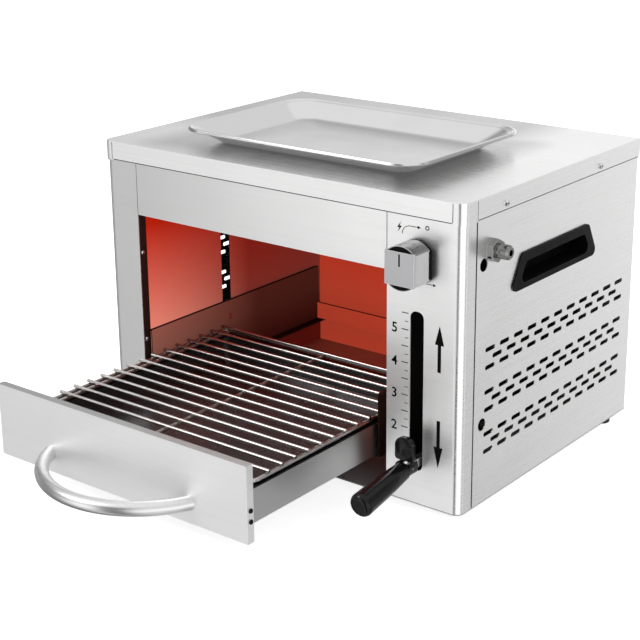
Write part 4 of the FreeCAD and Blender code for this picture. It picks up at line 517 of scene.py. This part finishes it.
# painted shade and painted red burner light: a dark red copy of the liner look for the left carriage plate
carriageSteel = sheetSteel("shadedRedLitCarriage", {
    **linerLook, "inward": "+X", "colour": (0.13, 0.035, 0.022), "rough": 0.46, "glowStrength": 0.32,
    "glowHeights": (0.05, 0.15, 0.35, 1.0), "glowDepths": (-0.05, 0.16, 1.0, 0.12), "footGlow": 0.5,
    "edge": 0.45, "edgeColour": (0.34, 0.09, 0.05)})
ownFinish = {}
for name, way in walls.items():
    look = {**linerLook, "inward": way, **(deepWall if name == "liner_rear" else {})}
    ownFinish[name] = sheetSteel("heatTintAndRedLight_" + name, look)
ownFinish.update({"grate_frame": frameWire, "drawer_screws": plateBlack, "drawer_right_side": sideSteel,
                  "drawer_left_side": sideSteel, "carriage_left_plate": carriageSteel, "knob_body": knobBlack,
                  "carriage_right_plate": plateBlack, "carriage_rear_member": ownFinish["liner_rear"]})
for name, piece in nodes.items():
    piece.data.materials.clear()
    piece.data.materials.append(ownFinish.get(name) or finishes[slotOf[name]])
print("finishes given to every piece")


def plateOf(mesh, outline, y, thickness):   # a thin raised shape on an upright face, from (x, z) points in mm
    front = [mesh.verts.new(spot(x, y - thickness, z)) for x, z in outline]
    back = [mesh.verts.new(spot(x, y, z)) for x, z in outline]
    mesh.faces.new(front)
    mesh.faces.new(list(reversed(back)))
    count = len(outline)
    for a in range(count):
        b = (a + 1) % count
        mesh.faces.new((front[b], front[a], back[a], back[b]))


def finishPiece(mesh, name, material, body):   # the mesh becomes a piece that rides on a body
    bmesh.ops.recalc_face_normals(mesh, faces=mesh.faces)
    data = bpy.data.meshes.new(name)
    mesh.to_mesh(data)
    mesh.free()
    piece = bpy.data.objects.new(name, data)
    bpy.context.scene.collection.objects.link(piece)
    data.materials.append(material)
    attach(piece, body)
    return piece


panelFace = -185.5
ink = {"thickness": 0.12, "tickRight": 186.2, "small": 4.5, "long": 8.5, "thin": 0.7, "thick": 1.0,
       "figures": "2345", "quarters": 15, "firstNumber": 96.8, "numberPitch": 36.6,
       "digitHeight": 11.0, "digitCentre": 168.5, "swell": 0.012,
       "arrowX": 225.2, "arrowWidth": 11.2, "shaftWidth": 4.2,
       "arrows": ((219.3, 198.0, 168.0), (60.4, 84.0, 114.0)),   # heights of tip, head and tail
       "bolt": ((176.0, 322.4), (171.2, 315.8), (173.8, 315.8),
                (172.0, 310.8), (176.9, 317.6), (174.2, 317.6)),
       "bend": (186.8, 309.8, 8.9, 9.6, 180.0, 96.0, 16), "off": (208.5, 320.3, 1.5, 2.5, 0.0, 360.0, 20),
       "leads": ((185.8, 196.5, 318.9, 319.6), (207.6, 216.4, 260.9, 261.6)),
       "leadReach": (3.9, 3.8), "leadHalf": 1.75}   # length and half height of the small arrowheads


def bar(mesh, x0, x1, z0, z1):
    plateOf(mesh, [(x0, z0), (x1, z0), (x1, z1), (x0, z1)], panelFace, ink["thickness"])


def ring(mesh, x, z, inner, outer, start=0.0, end=360.0, steps=36):   # a ring or part of one, as short quads
    for step in range(steps):
        a, b = (math.radians(start + (end - start) * k / steps) for k in (step, step + 1))
        corners = [(x + r * math.cos(t), z + r * math.sin(t))
                   for r, t in ((inner, a), (outer, a), (outer, b), (inner, b))]
        plateOf(mesh, corners, panelFace, ink["thickness"])


marks = bmesh.new()
for quarter in range(ink["quarters"]):   # a mark at every quarter from 2 to 5.5
    z = ink["firstNumber"] + quarter * ink["numberPitch"] / 4
    half = quarter % 2 == 0
    length = ink["long"] if half else ink["small"]
    thick = ink["thick"] if half else ink["thin"]
    bar(marks, ink["tickRight"] - length, ink["tickRight"], z - thick / 2, z + thick / 2)
x, w, s = ink["arrowX"], ink["arrowWidth"] / 2, ink["shaftWidth"] / 2
for tip, head, tail in ink["arrows"]:
    outline = [(x, tip), (x - w, head), (x - s, head), (x - s, tail),
               (x + s, tail), (x + s, head), (x + w, head)]
    plateOf(marks, outline, panelFace, ink["thickness"])
plateOf(marks, ink["bolt"], panelFace, ink["thickness"])
ring(marks, *ink["bend"])   # turn-to-light line, up and over to an arrow
ring(marks, *ink["off"])
for lead, (x0, x1, z0, z1) in enumerate(ink["leads"]):
    bar(marks, x0, x1, z0, z1)
    middle, reach = (z0 + z1) / 2, ink["leadReach"][lead]
    plateOf(marks, [(x1, middle - ink["leadHalf"]), (x1 + reach, middle), (x1, middle + ink["leadHalf"])],
            panelFace, ink["thickness"])
finishPiece(marks, "scale_marks", inkAndShadeBlack, "housing")


def number(text, x, z, height):   # a plain figure, raised as thick as the ink
    curve = bpy.data.curves.new("figure" + text, "FONT")
    curve.body = text
    curve.extrude = ink["thickness"] * mm / 2
    curve.offset = ink["swell"]
    holder = bpy.data.objects.new("figure" + text, curve)
    bpy.context.scene.collection.objects.link(holder)
    bpy.context.view_layer.update()
    data = bpy.data.meshes.new_from_object(holder.evaluated_get(bpy.context.evaluated_depsgraph_get()))
    bpy.data.objects.remove(holder)
    xs = [v.co.x for v in data.vertices]
    ys = [v.co.y for v in data.vertices]
    grow = height * mm / (max(ys) - min(ys))
    middle = Vector(((max(xs) + min(xs)) / 2, (max(ys) + min(ys)) / 2, 0))
    centre = spot(x, panelFace - ink["thickness"] / 2, z)
    for v in data.vertices:
        flat = (v.co - middle) * grow
        v.co = centre + Vector((flat.x, -v.co.z, flat.y))
    return data


figures = bmesh.new()
for rank, figure in enumerate(ink["figures"]):
    z = ink["firstNumber"] + rank * ink["numberPitch"]
    figures.from_mesh(number(figure, ink["digitCentre"], z, ink["digitHeight"]))
finishPiece(figures, "scale_figures", inkAndShadeBlack, "housing")
print("scale printed")

recess = {"long": 1.5, "wide": 0.36, "depth": 0.9, "proud": 0.03, "weld": 0.000005}


def crossIn(mesh, centre, across, up, outward):   # painted shade: a black cross sunk in a screw head, for its shaded recess
    a, b = recess["long"] * mm, recess["wide"] * mm
    quarter = [(a, b), (b, b), (b, a)]
    corners = [*quarter, *((-p, q) for p, q in reversed(quarter)), *((-p, -q) for p, q in quarter),
               *((p, -q) for p, q in reversed(quarter))]
    top = [mesh.verts.new(centre + across * p + up * q) for p, q in corners]
    low = [mesh.verts.new(centre + across * p + up * q - outward * recess["depth"] * mm) for p, q in corners]
    mesh.faces.new(top)
    mesh.faces.new(list(reversed(low)))
    for k in range(len(corners)):
        j = (k + 1) % len(corners)
        mesh.faces.new((top[j], top[k], low[k], low[j]))


def solidsOf(name):   # the points of each screw of a node
    whole = bmesh.new()
    whole.from_mesh(nodes[name].data)
    bmesh.ops.remove_doubles(whole, verts=whole.verts, dist=recess["weld"])
    whole.verts.index_update()
    seen, parts = set(), []
    for start in whole.verts:
        if start.index in seen:
            continue
        stack, group = [start], []
        seen.add(start.index)
        while stack:
            v = stack.pop()
            group.append(v.co.copy())
            for e in v.link_edges:
                o = e.other_vert(v)
                if o.index not in seen:
                    seen.add(o.index)
                    stack.append(o)
        parts.append(group)
    whole.free()
    return parts


def boxOf(points):
    return (Vector([min(p[k] for p in points) for k in range(3)]),
            Vector([max(p[k] for p in points) for k in range(3)]))


for body, name, made in (("housing", "cover_screws", "cover_screw_recesses"),
                         ("drawer", "drawer_screws", "drawer_screw_recesses")):
    crosses = bmesh.new()
    for points in solidsOf(name):
        low, high = boxOf(points)
        middle = (low + high) / 2
        way = 1 if middle.x > housingX * mm else -1
        headX = (high.x if way > 0 else low.x) + way * recess["proud"] * mm
        crossIn(crosses, Vector((headX, middle.y, middle.z)), Vector((0, way, 0)), Vector((0, 0, 1)),
                Vector((way, 0, 0)))
    finishPiece(crosses, made, inkAndShadeBlack, body)


def fitBlock(mesh, low, high):   # a block between two corners
    for v in bmesh.ops.create_cube(mesh, size=1.0)["verts"]:
        v.co = Vector([(low[k] + high[k]) / 2 + v.co[k] * (high[k] - low[k]) for k in range(3)])


def blockPiece(corners, name, material, body):   # plain blocks from pairs of corners, in mm
    mesh = bmesh.new()
    for low, high in corners:
        fitBlock(mesh, spot(*low), spot(*high))
    return finishPiece(mesh, name, material, body)


def bothSides(low, high):   # a block on the right and its mirror image on the left
    return [(low, high), ((-high[0], *low[1:]), (-low[0], *high[1:]))]


# painted shade: thin black strips in the gap under the cover's skirt
skirtShade = {"reach": 238, "front": (-186.6, -185.55), "side": (252.55, 253.7), "along": (-160, 184),
        "height": (329.95, 330.98)}
(near, far), (bottom, top) = skirtShade["front"], skirtShade["height"]
blockPiece([((-skirtShade["reach"], near, bottom), (skirtShade["reach"], far, top)),
            ((-skirtShade["reach"], -far, bottom), (skirtShade["reach"], -near, top)),
            *bothSides(*((skirtShade["side"][k], skirtShade["along"][k], skirtShade["height"][k]) for k in (0, 1)))],
           "skirt_gap_shade", inkAndShadeBlack, "housing")
pointer = {"low": (197.6, -220.65, 286.5), "high": (199.4, -220.2, 299.5)}
blockPiece([(pointer["low"], pointer["high"])], "knob_pointer", inkAndShadeBlack, "knob")
# painted shadow lines: thin black strips in the seams between panels and at the cover's corners
seamShadows = {"side": ((251.4, -162.2, 13.0), (252.58, -160.3, 330.3)),
         "left": ((-203.1, -185.56, 268.2), (-202.5, -185.0, 330.3)),
         "right": ((157.9, -185.56, 268.2), (158.7, -185.0, 330.3)),
         "coverFront": ((239.35, -187.03, 331.3), (240.05, -186.5, 350.9)),
         "coverSide": ((253.6, -163.05, 331.3), (254.03, -162.35, 350.9))}
blockPiece([*bothSides(*seamShadows["side"]), seamShadows["left"], seamShadows["right"]],
           "panel_seam_shadows", inkAndShadeBlack, "housing")
blockPiece([*bothSides(*seamShadows["coverFront"]), *bothSides(*seamShadows["coverSide"])],
           "cover_corner_shadows", inkAndShadeBlack, "housing")
# painted shade: a dark, faintly red strip on the left column's return flange, where it is in shade
returnShade = moulded("paintedReturnShade", {
    "colour": (0.030, 0.012, 0.009), "dust": 0.3, "dustColour": (0.10, 0.04, 0.03), "edge": 0.3,
    "edgeColour": (0.14, 0.07, 0.05), "rough": 0.5, "smudge": 0.12, "smudgeSize": 25.0, "pebble": 900.0,
    "bump": 0.1})
returnShadeBox = ((-202.98, -184.2, 14.0), (-202.7, -173.7, 267.8))
blockPiece([returnShadeBox], "column_return_shade", returnShade, "housing")


def joinLoops(mesh, loops, closed=False):   # skins one loop to the next
    for first, second in zip(loops, loops[1:] + (loops[:1] if closed else [])):
        for j in range(len(first)):
            i = (j + 1) % len(first)
            mesh.faces.new((first[j], second[j], second[i], first[i])).smooth = True


tray = {"halfX": 168.0, "halfY": 114.5, "corner": 34.0, "baseCorner": 20.0, "inset": 34.0,
        "middle": (-1.0, -37.0),
        "bead": (2.4, 369.6, 2.3),   # inset and height of the rolled edge's centre, and its radius
        "roll": (-60, -24, 11),   # its first angle, its step and its number of points
        "inside": ((5.2, 370.2), (6.8, 369.9), (8.4, 369.2), (9.8, 368.0), (11.2, 366.9), (29.0, 355.5),
                   (31.2, 354.2), (33.4, 353.4), (36.0, 353.0), (40.0, 352.9)),
        "outside": ((40.0, 352.1), (35.8, 352.2), (33.0, 352.7), (30.6, 353.6), (28.4, 354.8), (10.8, 366.0),
                    (9.3, 367.3), (8.0, 368.4), (6.6, 369.0), (5.0, 369.1))}


def trayLoop(mesh, inset, z, steps=9):   # once round the tray at this inset from its edge
    corner = tray["corner"] + (tray["baseCorner"] - tray["corner"]) * min(inset / tray["inset"], 1)
    reachX, reachY = tray["halfX"] - inset - corner, tray["halfY"] - inset - corner
    loop = []
    for signX, signY, start in ((1, 1, 0), (-1, 1, 90), (-1, -1, 180), (1, -1, 270)):
        for k in range(steps + 1):
            t = math.radians(start + 90 * k / steps)
            loop.append(mesh.verts.new(spot(tray["middle"][0] + signX * reachX + corner * math.cos(t),
                                            tray["middle"][1] + signY * reachY + corner * math.sin(t), z)))
    return loop


pressed = bmesh.new()
inset, height, radius = tray["bead"]
begin, step, count = tray["roll"]
bead = [(inset + radius * math.cos(t), height + radius * math.sin(t))
        for t in (math.radians(begin + step * k) for k in range(count))]
skin = [trayLoop(pressed, *point) for point in (*bead, *tray["inside"])]
under = [trayLoop(pressed, *point) for point in tray["outside"]]
joinLoops(pressed, skin)
joinLoops(pressed, under + skin[:1])
for loop in (skin[-1], under[0]):
    pressed.faces.new(loop).smooth = True
pressedTray = finishPiece(pressed, "pressed_tray", finishes["tray_steel"], "tray")
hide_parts("serving_tray")

knob = {"x": 198.5, "z": 284.0, "radius": 24.0, "flat": 18.0, "wall": 0.9, "front": -220.5, "face": -218.3,
        "skirt": -192.4, "back": -189.6, "skirtFlat": 19.2, "skirtRadius": 23.9, "half": 18.0,
        "overlap": 0.4, "lip": 0.3, "gap": 0.1, "sunk": 0.2, "sharp": 35}


def knobLoop(mesh, radius, flat, y, steps=14):   # round above and below, flat at the sides
    edge = math.degrees(math.acos(flat / radius))
    points = []
    for start in (edge, 180 + edge):
        for k in range(steps + 1):
            t = math.radians(start + (180 - 2 * edge) * k / steps)
            points.append(mesh.verts.new(spot(knob["x"] + radius * math.cos(t), y,
                                              knob["z"] + radius * math.sin(t))))
    return points


def knobSolid(mesh, radius, flat, front, back):   # closed between two outlines of the knob
    loops = [knobLoop(mesh, radius, flat, y) for y in (front, back)]
    joinLoops(mesh, loops)
    for loop in loops:
        mesh.faces.new(loop)


core, shell = bmesh.new(), bmesh.new()
inner = (knob["radius"] - knob["wall"], knob["flat"] - knob["wall"])
knobSolid(core, *inner, knob["face"], knob["skirt"] + knob["overlap"])
knobSolid(core, knob["skirtRadius"], knob["skirtFlat"], knob["skirt"], knob["back"])
outer = (knob["radius"], knob["flat"])
rim, foot = knob["face"] - knob["lip"], knob["skirt"] - knob["gap"]
rims = [knobLoop(shell, *size, y) for size, y in ((outer, rim), (outer, foot), (inner, foot), (inner, rim))]
joinLoops(shell, rims, closed=True)
fitBlock(shell, *(spot(knob["x"] + way * knob["flat"], y, knob["z"] + way * knob["half"])
                  for way, y in ((-1, knob["front"]), (1, knob["face"] + knob["sunk"]))))
for mesh, name, finish, stoodFor in ((core, "knob_core", knobBlack, "knob_body"),
                                     (shell, "knob_shell", finishes["knob_metal"], "knob_cap")):
    made = finishPiece(mesh, name, finish, "knob")
    made.data.set_sharp_from_angle(angle=math.radians(knob["sharp"]))
    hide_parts(stoodFor)
print("scene pieces made")

floorSize = 14.0
bpy.ops.mesh.primitive_plane_add(size=floorSize, location=(0, 0, 0))
floor = bpy.context.object
floor.name = "floor"
paperLook = {"colour": (0.86, 0.86, 0.86), "rough": 0.9, "shine": 0.1,
             "lift": (0.30, 0.8, 0.82, 1.0)}   # lit up to white away from the grill
paper, tree, shader, vector = blankMaterial("palePaper")
for label, key in (("Base Color", "colour"), ("Roughness", "rough"), ("Specular IOR Level", "shine")):
    feed(tree, paperLook[key], shader.inputs[label])
path = node(tree, "ShaderNodeLightPath")
glow = node(tree, "ShaderNodeEmission")
glow.inputs["Color"].default_value = (1, 1, 1, 1)
away = node(tree, "ShaderNodeVectorMath", operation="LENGTH")
wire(tree, vector, away.inputs[0])
lift = spread(tree, away.outputs["Value"], *paperLook["lift"])
wire(tree, sums(tree, "MULTIPLY", path.outputs["Is Camera Ray"], lift), glow.inputs["Strength"])
both = node(tree, "ShaderNodeAddShader")
wire(tree, shader.outputs[0], both.inputs[0])
wire(tree, glow.outputs[0], both.inputs[1])
clear = node(tree, "ShaderNodeBsdfTransparent")
mirrored = node(tree, "ShaderNodeMixShader")   # metal sees the white room instead of the paper
wire(tree, path.outputs["Is Glossy Ray"], mirrored.inputs[0])
wire(tree, both.outputs[0], mirrored.inputs[1])
wire(tree, clear.outputs[0], mirrored.inputs[2])
end = [n for n in tree.nodes if n.type == "OUTPUT_MATERIAL"][0]
wire(tree, mirrored.outputs[0], end.inputs[0])
floor.data.materials.append(paper)

room = {"plain": 0.42, "bright": 1.50,   # cards: centre, half width and soft edge in degrees, brightness
        "cards": ((9.0, 11.0, 8.0, 0.05), (101.0, 6.0, 6.0, 0.2), (139.0, 6.0, 24.0, 0.36),
                  (-112.0, 8.0, 30.0, 0.35), (-70.0, 10.0, 32.0, 0.2)),
        "under": (-0.25, -0.65, 1.0, 0.56), "above": (0.05, 0.28, 1.0, 0.60),   # by how far up it is
        "ceiling": (0.40, 0.75, 0.0, 0.70)}
world = bpy.data.worlds.new("softRoom")
bpy.context.scene.world = world
world.use_nodes = True
tree = world.node_tree
tree.nodes.clear()
path = node(tree, "ShaderNodeLightPath").outputs
parts = partsOf(tree, node(tree, "ShaderNodeTexCoord").outputs["Generated"])
turned = sums(tree, "ARCTAN2", parts["X"], sums(tree, "MULTIPLY", parts["Y"], -1.0))
azimuth = sums(tree, "DIVIDE", turned, math.pi / 180)   # 0 in front of the grill, growing to its right
cards = []
for centre, half, soft, dark in room["cards"]:
    away = sums(tree, "ABSOLUTE", sums(tree, "WRAP", sums(tree, "SUBTRACT", azimuth, centre), 180.0))
    cards.append(spread(tree, away, half, half + soft, dark, 1.0))
shade = product(tree, *cards, *(spread(tree, parts["Z"], *room[key]) for key in ("under", "above")))
shade = sums(tree, "MAXIMUM", shade, spread(tree, parts["Z"], *room["ceiling"]))
seen = sums(tree, "MAXIMUM", path["Is Camera Ray"], path["Is Transmission Ray"])
glossy = product(tree, path["Is Glossy Ray"], shade, room["bright"])
diffuse = sums(tree, "MULTIPLY", path["Is Diffuse Ray"], room["plain"])
air = node(tree, "ShaderNodeBackground")
air.inputs["Color"].default_value = (1, 1, 1, 1)
wire(tree, sums(tree, "MAXIMUM", sums(tree, "MAXIMUM", seen, glossy), diffuse), air.inputs["Strength"])
wire(tree, air.outputs[0], node(tree, "ShaderNodeOutputWorld").inputs[0])


def areaLamp(name, shape, where, power, reflected):
    light = bpy.data.lights.new(name, "AREA")
    light.shape, light.energy = shape, power
    holder = bpy.data.objects.new(name, light)
    holder.location = where
    holder.visible_glossy = reflected
    bpy.context.scene.collection.objects.link(holder)
    return holder


burnerLamp = {"power": 0.03, "size": (0.12, 0.085), "colour": (1.0, 0.10, 0.035), "drop": 0.006}
low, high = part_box("burner_tiles")
middle = (low + high) / 2
for tile, way in enumerate((-1, 1)):
    where = (middle.x + way * (high.x - low.x) / 4, middle.y, low.z - burnerLamp["drop"])
    light = areaLamp("burnerGlow%d" % tile, "RECTANGLE", where, burnerLamp["power"], False).data
    light.size, light.size_y = burnerLamp["size"]
    light.color = burnerLamp["colour"]
lamps = {   # place, size and power, in metres and watts, and whether the metal mirrors it
    "keyLamp": ((-1.7, -2.1, 2.3), 1.4, 34.0, True),
    "fillLamp": ((2.4, -1.2, 1.5), 1.6, 12.0, False),
    "topLamp": ((0.2, 0.6, 2.6), 1.8, 20.0, False),
}
target = Vector((0, 0.05, 0.2))
for name, (where, size, power, reflected) in lamps.items():
    holder = areaLamp(name, "DISK", where, power, reflected)
    holder.data.size = size
    holder.rotation_euler = (target - holder.location).to_track_quat("-Z", "Y").to_euler()

view = {"azimuth": 38.4, "elevation": 17.8, "roll": 0.6, "lens": 85.56, "sensor": 36.0, "shift": -0.0625,
        "place": (1.0304, -1.2707, 0.7406)}
a, e, r = (math.radians(view[k]) for k in ("azimuth", "elevation", "roll"))
back = Vector((math.sin(a) * math.cos(e), -math.cos(a) * math.cos(e), math.sin(e)))
across = Vector((0, 0, 1)).cross(back).normalized()
upward = back.cross(across)
side = across * math.cos(r) - upward * math.sin(r)
upright = across * math.sin(r) + upward * math.cos(r)
lens = bpy.data.cameras.new("camera")
lens.lens = view["lens"]
lens.sensor_width = view["sensor"]
lens.shift_y = view["shift"]
camera = bpy.data.objects.new("camera", lens)
turn = Matrix((side, upright, back)).transposed().to_4x4()
camera.matrix_world = Matrix.Translation(view["place"]) @ turn
bpy.context.scene.collection.objects.link(camera)
bpy.context.scene.camera = camera
bpy.context.scene.view_settings.view_transform = "Standard"
print("floor, lamps and camera set")
